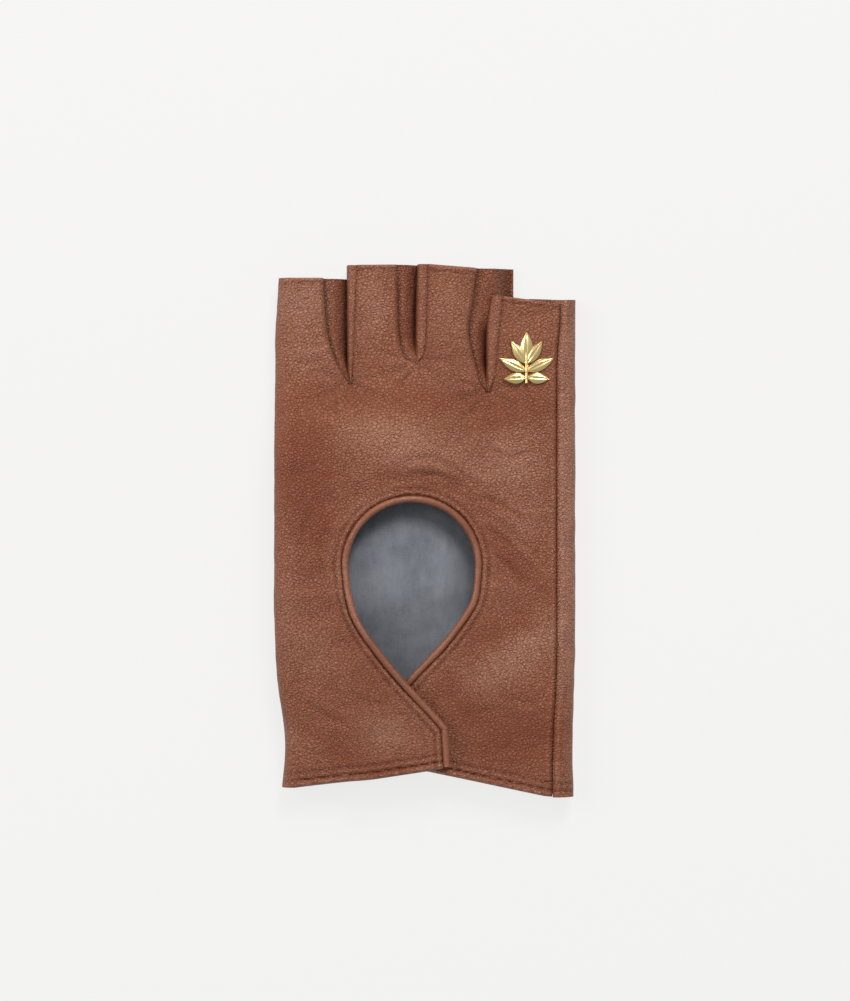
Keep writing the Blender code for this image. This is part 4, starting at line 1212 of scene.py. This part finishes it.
def palm_shape(u, y):
    """Places of the palm's leather, rolled round the little-finger edge, and its shade value of painted
    light and random tone.
    """
    start = right_edge(y) - ROLL_R
    past = np.maximum(u - start, 0.0)
    turn = np.clip(past / ROLL_R, 0.0, math.pi)
    over = np.maximum(past - math.pi * ROLL_R, 0.0)
    flat_x = np.minimum(u, start)
    form = (
        0.16 * (1.0 + waves(u, y, 26.0, 51)) + 0.07 * (1.0 + waves(u, y, 8.0, 53))
        + 0.04 * waves(u, y, 3.4, 57, 9)
    )
    # Painted shade in the hem's grooves, the elastic's gathers, the side seam and the thumb hole's stitch
    # line, and painted highlight on the seam's puckers and the hem's bead, over a little random tone.
    painted_light_and_tone = 0.25 * waves(u, y, 9.0, 59)
    hem_here = np.interp(flat_x, hem_right[:, 0], hem_right[:, 1])
    hem_here = np.where(flat_x < 0.0, np.interp(flat_x, hem_left[:, 0], hem_left[:, 1]), hem_here)
    hem = np.abs(y - hem_here - 0.3)
    form -= 0.30 * bump(hem, 1.0, 0.8) - 0.35 * bump(hem, 2.2, 0.35) - 0.28 * bump(hem, 4.3, 0.38)
    painted_light_and_tone += 0.3 * bump(hem, 1.0, 0.5) - 0.9 * bump(hem, 2.2, 0.3) - 0.7 * bump(hem, 4.3, 0.35)
    gather = bump(y, GATHER_Y, 6.5) * (u < 38.0) * (u > -38.0)
    form += gather * (0.42 + 0.40 * gathers(u, y))
    painted_light_and_tone += gather * -0.5 * gathers(u, y)
    seam_gap = math.pi * ROLL_R + (start - seam(y)) - past
    puckers = side_pucker(y) * bump(seam_gap, 1.5, 1.2)
    painted_light_and_tone += 0.8 * puckers * (0.6 + 0.4 * waves(u * 0.0, y, 6.0, 63))
    outward = (
        0.34 * puckers - 0.75 * rolled_down(np.maximum(seam_gap, 0.0), 1.1)
        + 0.10 * waves(u, y, 7.0, 61) * (past > 1.0)
    )
    painted_light_and_tone += (
        -0.75 * bump(seam_gap, 0.0, 0.45) - 0.35 * bump(seam_gap, 2.4, 0.5) + 0.3 * bump(seam_gap, 1.3, 0.5)
    )
    round_hole = np.hypot(u - THUMB_X, y - THUMB_Y) - THUMB_HOLE
    form += 0.3 * bump(round_hole, 2.0, 0.5)
    painted_light_and_tone -= 0.8 * bump(round_hole, 2.0, 0.5)
    floor_level = lift(flat_x, y) + np.maximum(form, 0.0) * (1.0 - smooth(0.0, 3.0, past))
    radius = ROLL_R + outward * (past > 0.0)
    x = flat_x + radius * np.sin(turn) - over
    z = floor_level + ROLL_R - radius * np.cos(turn)
    z = np.where(past > 0.0, z, floor_level)
    x = np.where(past > 0.0, x, u)
    return np.stack([x, y, z], 1), painted_light_and_tone


palm_leather = sheet(
    "palm_leather", palm_outline(0.0, palm_far_side), palm_shape, lambskin, 0.85, outer=-1.0,
    hole=thumb_hole,
)
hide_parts("palm_panel")
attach(palm_leather, "root")
print("palm faces:", len(palm_leather.data.polygons))

# %% [markdown]
# ## The suede lining of the palm
# It is seen through the keyhole, so it gets the same care as the leather: a soft sheet with slow hollows.

# %% Palm lining


def lining_shape(x, y):
    """Places of the palm's lining and its shade value: painted shade towards the rim and under the flaps,
    over faint random tone.
    """
    z = LINING_Z + LINING + 0.35 + lift(x, y) + 0.22 * waves(x, y, 21.0, 71) + 0.06 * waves(x, y, 6.0, 73)
    low = 1.0 - smooth(-34.0, -12.0, y)
    edge = smooth(13.5, 19.0, np.hypot(x - KEYHOLE_X + 3.5, y - KEYHOLE_Y + 2.5))
    return np.stack([x, y, z], 1), -0.35 * low - 0.45 * edge * (1.0 - low) + 0.1 * waves(x, y, 12.0, 75)


lining_outline = palm_outline(1.6, lambda y: right_edge(y) - 3.0)
palm_suede = sheet("palm_suede", lining_outline, lining_shape, suede, 1.3, 0.55, hole=thumb_hole)
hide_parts("palm_lining")
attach(palm_suede, "root")
print("lining faces:", len(palm_suede.data.polygons))

# %% [markdown]
# ## Fourchettes
# A fourchette is the narrow strip that makes the side walls between two fingers. From the left finger's
# crease it slopes down into a slit, darkened with painted shade, then comes up round the next finger's edge
# as a soft roll to that finger's seam. A loft across each gap, row by row from the web to the finger ends,
# gives that folded wall.

# %% Fourchette maker


def at_row(path, y):
    """The x of a path at heights y on the page."""
    order = np.argsort(path[:, 1])
    return np.interp(y, path[order, 1], path[order, 0])


def loft(name, rows, finish, thickness, painted_light_and_tone, outer=1.0):
    """A wall through rows of places that all have the same count."""
    rows = np.asarray(rows, float)
    count, across = rows.shape[:2]
    piece = add_piece(name, rows.reshape(-1, 3), grid_faces(count, across), finish, np.ravel(painted_light_and_tone))
    if sum(face.normal.z * face.area for face in piece.data.polygons) * outer < 0.0:
        piece.data.flip_normals()
    return give_thickness(piece, thickness, -1.0)


def spread(points, count=26):
    """Even places along a smooth section through points."""
    curve = curve_through(points, 0.25)
    run = np.concatenate([[0.0], np.cumsum(np.linalg.norm(np.diff(curve, axis=0), axis=1))])
    want = np.linspace(0.0, run[-1], count)
    return np.stack([np.interp(want, run, curve[:, 0]), np.interp(want, run, curve[:, 1])], 1)


print("points across a wall:", len(spread([(0.0, 0.0), (4.0, 1.0)])))

# %% Walls and rolls of a gap
WALL_TOP = TOP - 0.85
WALL_DEPTH = 4.9


def gap_rows(gap, low, high, section, marker, count=46):
    """Rows of a wall from one height on the page to another."""
    rows, marks = [], []
    for share in np.linspace(0.0, 1.0, count):
        y = low + (high - low) * share
        slit = float(at_row(gap["slit"], y))
        line = spread(section(y, slit, WALL_DEPTH * float(smooth(0.0, 9.0, y - low))))
        up = float(lift(slit, y))
        rumple = (
            0.12 * waves(line[:, 0] * 1.6, np.full(len(line), y), 5.0, 81)
            + 0.05 * waves(line[:, 0], np.full(len(line), y), 2.2, 83)
        )
        rows.append(np.column_stack([line[:, 0], np.full(len(line), y), line[:, 1] + up + rumple]))
        marks.append(marker(line))
    return rows, marks


def gap_wall(name, gap, low, high, node, far=None):
    """The wall that slopes from a finger's crease down into the slit."""

    def section(y, slit, depth):
        crease = float(at_row(gap["crease"], y)) - 0.35
        end = slit + 0.35
        if far is not None:
            past = float(smooth(58.0, 68.0, y))
            end = end + (far - end) * past
            depth = depth + 1.2 * past
        wide = end - crease
        points = [
            (crease, WALL_TOP), (crease + 0.45, WALL_TOP - 0.22 * depth),
            (crease + 0.40 * wide, WALL_TOP - 0.34 * depth),
        ]
        points += [(crease + 0.66 * wide, WALL_TOP - 0.60 * depth), (end - 0.5, WALL_TOP - depth)]
        return points + [(end + 0.3, WALL_TOP - depth * 1.03)]

    def marker(line):
        low_share = np.clip((WALL_TOP - line[:, 1]) / WALL_DEPTH, 0.0, 1.0)
        # Painted shade that deepens towards the slit, and a painted shadow along the crease where the
        # finger's edge overhangs the wall.
        return -0.9 * low_share**2.0 - 0.95 * bump(line[:, 0], line[0, 0] + 0.65, 0.60)

    rows, marks = gap_rows(gap, low, high, section, marker)
    piece = loft(name, rows, lambskin, 0.7, marks)
    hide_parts(node)
    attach(piece, "root")
    return piece


def gap_strip(name, gap, low, high):
    """The soft roll that comes up out of the slit to the next finger's seam."""

    def section(y, slit, depth):
        wide = float(at_row(gap["seam"], y)) + 0.35 - slit
        points = [
            (slit - 0.25, WALL_TOP - depth - 0.3), (slit - 0.05, WALL_TOP - depth * 0.55),
            (slit + 0.2, WALL_TOP - 0.35),
        ]
        points += [(slit + 0.30 * wide, WALL_TOP + 0.62), (slit + 0.68 * wide, WALL_TOP + 0.66)]
        return points + [(slit + wide, WALL_TOP + 0.05)]

    def marker(line):
        low_share = np.clip((WALL_TOP - line[:, 1]) / WALL_DEPTH, 0.0, 1.0)
        # Painted shade down into the slit and painted highlight along the roll's top.
        return -0.9 * low_share + 0.30 * (line[:, 1] > WALL_TOP + 0.35)

    rows, marks = gap_rows(gap, low, high, section, marker)
    piece = loft(name, rows, lambskin, 0.7, marks)
    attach(piece, "root")
    return piece


print("wall top", round(WALL_TOP, 2), "mm up,", WALL_DEPTH, "mm deep")

# %% The three gaps
gap_wall("fourchette_wall_one", GAPS["index_middle"], 44.2, 75.7, "fourchette_index_middle")
gap_strip("fourchette_roll_one", GAPS["index_middle"], 44.2, 79.7)
gap_wall("fourchette_wall_two", GAPS["middle_ring"], 49.8, 79.9, "fourchette_middle_ring")
gap_strip("fourchette_roll_two", GAPS["middle_ring"], 49.8, 80.0)
gap_wall("fourchette_wall_three", GAPS["ring_little"], 41.8, 78.8, "fourchette_ring_little", 26.4)
gap_strip("fourchette_roll_three", GAPS["ring_little"], 41.8, 70.5)
RETURN_ROWS, RETURN_ACROSS = 14, 18
under = spread([(26.6, 1.25), (25.4, 0.55), (22.0, 0.42), (18.6, 0.40)], RETURN_ACROSS)
return_rows = [
    np.column_stack([under[:, 0], np.full(RETURN_ACROSS, y), under[:, 1]])
    for y in np.linspace(70.7, 78.8, RETURN_ROWS)
]
plain_relief = np.zeros((RETURN_ROWS, RETURN_ACROSS))
wall_return = loft("fourchette_return", return_rows, lambskin, 0.4, plain_relief, -1.0)
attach(wall_return, "root")
print("gaps walled:", len(GAPS))

# %% [markdown]
# ## Thumb
# The thumb's sleeve lies folded behind the palm. It is a flattened tube, round and closed where it joins
# the palm and open at its hemmed end, with an opening under the palm's thumb hole.

# %% Rows of the thumb sleeve
THUMB_HALF = 14.0
THUMB_FLAT, THUMB_SWELL, THUMB_CEILING = 3.9, 2.2, 6.12
THUMB_REACH = node_box("thumb_stall")[1][1] - THUMB_Y


def thumb_rows():
    """Rings of places along the sleeve, from its round end to its hem, with their painted shade and random
    tone.
    """
    round_end = -THUMB_HALF * np.cos(np.linspace(0.12, math.pi / 2, 18))
    alongs = np.concatenate([round_end, np.arange(0.8, THUMB_REACH, 0.8)])
    turn = np.linspace(0.0, 2.0 * math.pi, 97)[:-1]
    rows, marks = [], []
    for along in alongs:
        tall = THUMB_FLAT + THUMB_SWELL * float(smooth(-THUMB_HALF, 16.0, along))
        if along < 0.0:
            half = math.sqrt(max(THUMB_HALF**2 - along**2, 0.5)) - 0.25
        else:
            half = THUMB_HALF - 1.4 * along / 40.0 - 0.25
        wide = np.sign(np.cos(turn)) * np.abs(np.cos(turn)) ** 0.62
        up = np.sign(np.sin(turn)) * np.abs(np.sin(turn)) ** 0.72
        x = wide * half
        z = tall / 2 + up * tall / 2
        dent = (
            0.16 * (1.0 + waves(x + 40.0, np.full(len(x), along), 9.0, 91))
            + 0.06 * (1.0 + waves(x * 1.4, x * 0.0 + along * 1.3, 3.6, 93))
        )
        end = THUMB_REACH - along
        stitched, grooved = float(bump(end, 4.3, 0.4)), float(bump(end, 2.2, 0.35))
        dent = dent + 0.30 * stitched + 0.32 * grooved - 0.12 * float(bump(end, 1.0, 0.7))
        side = bump(np.abs(np.cos(turn)), 1.0, 0.02) * (np.cos(turn) > 0.0)
        dent = dent + 0.35 * side
        z = z - np.sign(np.sin(turn)) * dent * np.abs(np.sin(turn))
        x = x - np.sign(np.cos(turn)) * dent * (np.abs(np.cos(turn)) > 0.9)
        z = np.clip(z, 0.0, THUMB_CEILING)
        rows.append(np.column_stack([THUMB_X + x, np.full(len(x), THUMB_Y + along), z]))
        # Painted shade along the side fold and in the hem's stitch grooves, over a little random tone.
        marks.append(
            -0.8 * side - 0.8 * stitched - 0.9 * grooved
            + 0.2 * waves(x, np.full(len(x), along), 7.0, 95)
        )
    return np.array(rows), np.array(marks)


print("the sleeve reaches", round(THUMB_REACH, 1), "mm past the middle of the thumb hole")

# %% Thumb sleeve


def thumb_sleeve():
    """The sleeve's wall, left open under the palm's thumb hole and at its hem."""
    rows, marks = thumb_rows()
    count, around = rows.shape[:2]
    places = rows.reshape(-1, 3)
    faces = []
    for face in grid_faces(count, around, True):
        x, y, z = places[list(face)].mean(0)
        if math.hypot(x - THUMB_X, y - THUMB_Y) >= THUMB_HOLE - 0.2 or z <= 2.8:
            faces.append(face)
    faces.append(tuple(range(around))[::-1])
    piece = add_piece("thumb_sleeve", places, faces, lambskin, np.ravel(marks))
    bm = bmesh.new()
    bm.from_mesh(piece.data)
    loose = [corner for corner in bm.verts if not corner.link_faces]
    bmesh.ops.delete(bm, geom=loose, context="VERTS")
    bmesh.ops.recalc_face_normals(bm, faces=bm.faces)
    bm.to_mesh(piece.data)
    bm.free()
    underside = [face for face in piece.data.polygons if face.center.z < 0.001]
    if sum(face.normal.z for face in underside) > 0.0:
        piece.data.flip_normals()
    give_thickness(piece, 0.75, -1.0)
    return piece


thumb = thumb_sleeve()
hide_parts("thumb_stall")
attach(thumb, "thumb")
print("thumb sleeve:", len(thumb.data.polygons), "faces")

# %% [markdown]
# ## Stitches
# Every seam is a row of short thread lengths, each sunk at its ends. A Geometry Nodes tree walks along a
# path, sets one stitch every pitch and turns it to the path, so all seams share one tree with their own
# sizes.

# %% Stitch tree


def stitch_tree():
    """The node tree that turns a path into a row of stitches."""
    tree = bpy.data.node_groups.new("row_of_stitches", "GeometryNodeTree")
    tree.is_modifier = True
    face = tree.interface
    face.new_socket("Path", in_out="INPUT", socket_type="NodeSocketGeometry")
    for label, value in (("Pitch", 0.0019), ("Length", 0.0007), ("Thickness", 0.0002)):
        face.new_socket(label, in_out="INPUT", socket_type="NodeSocketFloat").default_value = value
    face.new_socket("Thread", in_out="INPUT", socket_type="NodeSocketMaterial")
    face.new_socket("Stitches", in_out="OUTPUT", socket_type="NodeSocketGeometry")
    kinds = {
        "given": "NodeGroupInput",
        "result": "NodeGroupOutput",
        "curve": "GeometryNodeMeshToCurve",
        "steps": "GeometryNodeResampleCurve",
        "stitch": "GeometryNodeMeshUVSphere",
        "tangent": "GeometryNodeInputTangent",
        "turn": "FunctionNodeAlignRotationToVector",
        "size": "ShaderNodeCombineXYZ",
        "place": "GeometryNodeInstanceOnPoints",
        "real": "GeometryNodeRealizeInstances",
        "paint": "GeometryNodeSetMaterial",
        "round": "GeometryNodeSetShadeSmooth",
    }
    made = {key: tree.nodes.new(kind) for key, kind in kinds.items()}
    made["steps"].mode = "LENGTH"
    made["turn"].axis = "X"
    made["stitch"].inputs["Segments"].default_value = 8
    made["stitch"].inputs["Rings"].default_value = 5
    made["stitch"].inputs["Radius"].default_value = 1.0
    links = [
        ("given", "Path", "curve", "Mesh"),
        ("curve", "Curve", "steps", "Curve"),
        ("given", "Pitch", "steps", "Length"),
        ("steps", "Curve", "place", "Points"),
        ("stitch", "Mesh", "place", "Instance"),
        ("tangent", "Tangent", "turn", "Vector"),
        ("turn", "Rotation", "place", "Rotation"),
        ("given", "Length", "size", "X"),
        ("given", "Thickness", "size", "Y"),
        ("given", "Thickness", "size", "Z"),
        ("size", "Vector", "place", "Scale"),
        ("place", "Instances", "real", "Geometry"),
        ("real", "Geometry", "round", "Geometry"),
        ("round", "Geometry", "paint", "Geometry"),
        ("given", "Thread", "paint", "Material"),
        ("paint", "Geometry", "result", "Stitches"),
    ]
    for source, out, target, into in links:
        tree.links.new(made[source].outputs[out], made[target].inputs[into])
    return tree


STITCHES = stitch_tree()
print("nodes in the stitch tree:", len(STITCHES.nodes))

# %% A row of stitches
THREAD_ABOVE = 0.02


def stitch_row(name, places, node, body, pitch=STITCH_PITCH, length=0.62, thick=0.20, along=None):
    """A row of stitches along places in millimetres, as a plain mesh on one body, or baked in place on a
    flap.
    """
    mesh = bpy.data.meshes.new(name + "_path")
    places = np.asarray(places, float)
    mesh.from_pydata([tuple(p * MM) for p in places], [(k, k + 1) for k in range(len(places) - 1)], [])
    thing = put(name, mesh)
    row = thing.modifiers.new("stitches", "NODES")
    row.node_group = STITCHES
    values = {"Pitch": pitch * MM, "Length": length * MM, "Thickness": thick * MM, "Thread": yarn}
    for socket in STITCHES.interface.items_tree:
        if socket.in_out == "INPUT" and socket.name in values:
            row[socket.identifier] = values[socket.name]
    keep_as_mesh(thing)
    if node is not None:
        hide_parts(node)
    if along is None:
        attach(thing, body)
    else:
        ride_flap(thing, body, along)
    return thing


def on_back(path, flap=None):
    """Places on the back's leather along a path."""
    if flap is None:
        return back_shape(path[:, 0], path[:, 1])[0] + (0.0, 0.0, THREAD_ABOVE)
    z, _ = back_height(path[:, 0], path[:, 1], flap)
    return np.column_stack([path, z + THREAD_ABOVE])


print("a stitch every", STITCH_PITCH, "mm unless a seam says otherwise")

# %% Stitches round the keyhole
SEAM_IN = 2 * BEAD + RIM_STITCH_AT
arch_seam = offset(keyhole_arch, -SEAM_IN)
stitch_row("keyhole_stitches", on_back(arch_seam[arch_seam[:, 1] > SPLIT_Y]), "keyhole_thread", "root")
top_seam = offset(top_flap_edge, -SEAM_IN)
top_seam = top_seam[(top_seam[:, 1] < SPLIT_Y - 2.5) & (top_seam[:, 1] > -68.0)]
stitch_row(
    "top_flap_stitches", on_back(top_seam, "top"), "top_flap_thread", "top_flap_body", along=LEFT_FOLD
)
under_seam = offset(under_flap_edge, SEAM_IN)
under_seam = under_seam[(under_seam[:, 1] < SPLIT_Y - 2.5) & (under_seam[:, 0] > -4.0)]
stitch_row(
    "under_flap_stitches", on_back(under_seam, "under"), "under_flap_thread", "under_flap_body",
    along=RIGHT_FOLD,
)
print("keyhole stitch line", SEAM_IN, "mm in from the rim")

# %% Stitches along the hem
HEM_PITCH = 2.1


def hem_row(hem, start, end):
    """The hem's stitch line between two places across the glove."""
    run = on_hem(hem, start, end)
    run[:, 1] += HEM_STITCH_AT
    return run


HEM_ROWS = [
    ("left_hem_stitches", hem_left, -41.5, SPLIT_LEFT + 0.5, None, "left_hem_thread", "root", None),
    ("right_hem_stitches", hem_right, SPLIT_RIGHT + 0.5, 37.5, None, "right_hem_thread", "root", None),
    ("top_flap_hem_stitches", hem_left, -26.5, 3.0, "top", None, "top_flap_body", LEFT_FOLD),
    ("under_flap_hem_stitches", hem_right, 8.0, 19.5, "under", None, "under_flap_body", RIGHT_FOLD),
]
for name, hem, start, end, flap, node, body, fold in HEM_ROWS:
    stitch_row(name, on_back(hem_row(hem, start, end), flap), node, body, HEM_PITCH, along=fold)
print("hem stitches every", HEM_PITCH, "mm")

# %% Stitches of the side seam and finger ends
seam_ys = np.arange(-76.0, 68.0, 0.8)
seam_line = np.stack([seam(seam_ys) - 0.15, seam_ys], 1)
seam_places = np.column_stack([seam_line, np.full(len(seam_ys), TOP - 0.95)])
stitch_row("side_seam_stitches", seam_places, "side_seam_thread", "root", STITCH_PITCH, 0.6, 0.2)
FINGER_ENDS = {
    "index": [(-42.0, 74.3), (-31.6, 74.3)],
    "middle": [(-20.0, 78.3), (-9.4, 78.3)],
    "ring": [(1.6, 78.3), (14.9, 77.2)],
    "little": [(23.8, 68.7), (40.2, 66.8)],
}
for finger, ends in FINGER_ENDS.items():
    stitch_row(finger + "_end_stitches", on_back(polyline(ends)), None, "root", 1.65, 0.5, 0.15)

# %% [markdown]
# ## Ornament
# The ornament is a small gilt sprig. Each leaf is domed and has a groove along its middle, so it catches
# light as a polished casting does. A flat plate would reflect the room in one tone.

# %% One domed leaf
EMBLEM_X, EMBLEM_Y = 30.5, 51.9
EMBLEM_BASE = node_box("emblem")[1][2] - 1.0


def domed_leaf(x, y, length, width, turn, corners, faces):
    """Adds one leaf: a domed top over a flat back."""
    start = len(corners)
    rows, across = 26, 15
    for side in (1.0, 0.0):
        for k in range(rows):
            share = k / (rows - 1)
            half = width / 2 * math.sin(math.pi * min(share**0.85, 1.0)) + 0.02
            for n in range(across):
                t = 2.0 * n / (across - 1) - 1.0
                px, py = t * half, share * length
                dome = 0.45 + 0.60 * (1.0 - abs(t) ** 2.4) * math.sin(math.pi * (0.12 + 0.8 * share))
                vein = 0.20 * math.exp(-((t / 0.20) ** 2))
                height = (dome - vein) if side else 0.0
                angle = -math.radians(turn)
                wx = x + px * math.cos(angle) - py * math.sin(angle)
                wy = y + px * math.sin(angle) + py * math.cos(angle)
                corners.append((EMBLEM_X + wx, EMBLEM_Y + wy, EMBLEM_BASE + height))
    for k in range(rows - 1):
        for n in range(across - 1):
            a = start + k * across + n
            faces.append((a, a + 1, a + across + 1, a + across))
            b = a + rows * across
            faces.append((b, b + across, b + across + 1, b + 1))
    rim = [start + n for n in range(across)]
    rim += [start + k * across + across - 1 for k in range(1, rows)]
    rim += [start + (rows - 1) * across + n for n in range(across - 2, -1, -1)]
    rim += [start + k * across for k in range(rows - 2, 0, -1)]
    for a, b in zip(rim, rim[1:] + rim[:1]):
        faces.append((b, a, a + rows * across, b + rows * across))


print("the sprig stands on", round(EMBLEM_BASE, 2), "mm")

# %% Gilt sprig


def gilt_sprig():
    """Seven leaves on a stem."""
    corners, faces = [], []
    sprig = [(0.0, -0.6, 8.5, 3.6, 0.0)]
    for turn, start, length in ((34.0, -2.0, 8.6), (64.0, -4.2, 9.3), (94.0, -6.0, 7.0)):
        sprig += [(0.0, start, length, 3.2, side * turn) for side in (-1, 1)]
    for leaf in sprig:
        domed_leaf(*leaf, corners, faces)
    piece = add_piece("gilt_sprig", corners, faces, gilt, sharp=math.radians(40.0))
    stem_path = [(EMBLEM_X, EMBLEM_Y - 7.7 + 0.4 * k, EMBLEM_BASE + 0.45) for k in range(24)]
    stem = roll_along("sprig_stem", stem_path, 0.48, gilt, 12)
    for thing in (piece, stem):
        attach(thing, "root")
    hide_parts("emblem")
    return piece


sprig = gilt_sprig()
print("sprig faces:", len(sprig.data.polygons))

# %% [markdown]
# ## Inner layers and fasteners
# The linings of the back and flaps and the elastic show only through the openings. They keep their
# solids' shape, refined and slightly rumpled. The fastener's turned parts are right as they are and only
# get a plated finish.

# %% Inner layers


def softened_copy(name, node, finish, body, amount=0.06):
    """A finely meshed, slightly rumpled stand-in for a plain inner layer."""
    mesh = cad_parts[node].data.copy()
    bm = bmesh.new()
    bm.from_mesh(mesh)
    bmesh.ops.remove_doubles(bm, verts=bm.verts, dist=0.00001)
    for _ in range(3):
        long_edges = [edge for edge in bm.edges if edge.calc_length() > 0.0035]
        bmesh.ops.subdivide_edges(bm, edges=long_edges, cuts=1)
        bmesh.ops.triangulate(bm, faces=bm.faces)
    for corner in bm.verts:
        x, y = corner.co.x / MM, corner.co.y / MM
        corner.co.z += amount * MM * float(waves(np.array([x]), np.array([y]), 8.0, 97)[0])
    bm.to_mesh(mesh)
    bm.free()
    mesh.materials.clear()
    mesh.materials.append(finish)
    mesh.shade_smooth()
    mesh.set_sharp_from_angle(angle=math.radians(45.0))
    thing = put(name, mesh)
    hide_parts(node)
    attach(thing, body)


softened_copy("back_suede", "back_lining", suede, "root")
softened_copy("top_flap_inner", "top_flap_facing", flesh_side, "top_flap_body")
softened_copy("under_flap_inner", "under_flap_facing", flesh_side, "under_flap_body")
softened_copy("elastic_band", "wrist_elastic", webbing, "root", 0.04)
print("inner layers refined")

# %% Fastener and backing
KEPT = {"press_stud": nickel, "stud_cap": nickel, "press_socket": nickel, "emblem_backing": gilt}
for node, finish in KEPT.items():
    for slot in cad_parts[node].material_slots:
        slot.material = finish
print("plated parts:", len(KEPT))

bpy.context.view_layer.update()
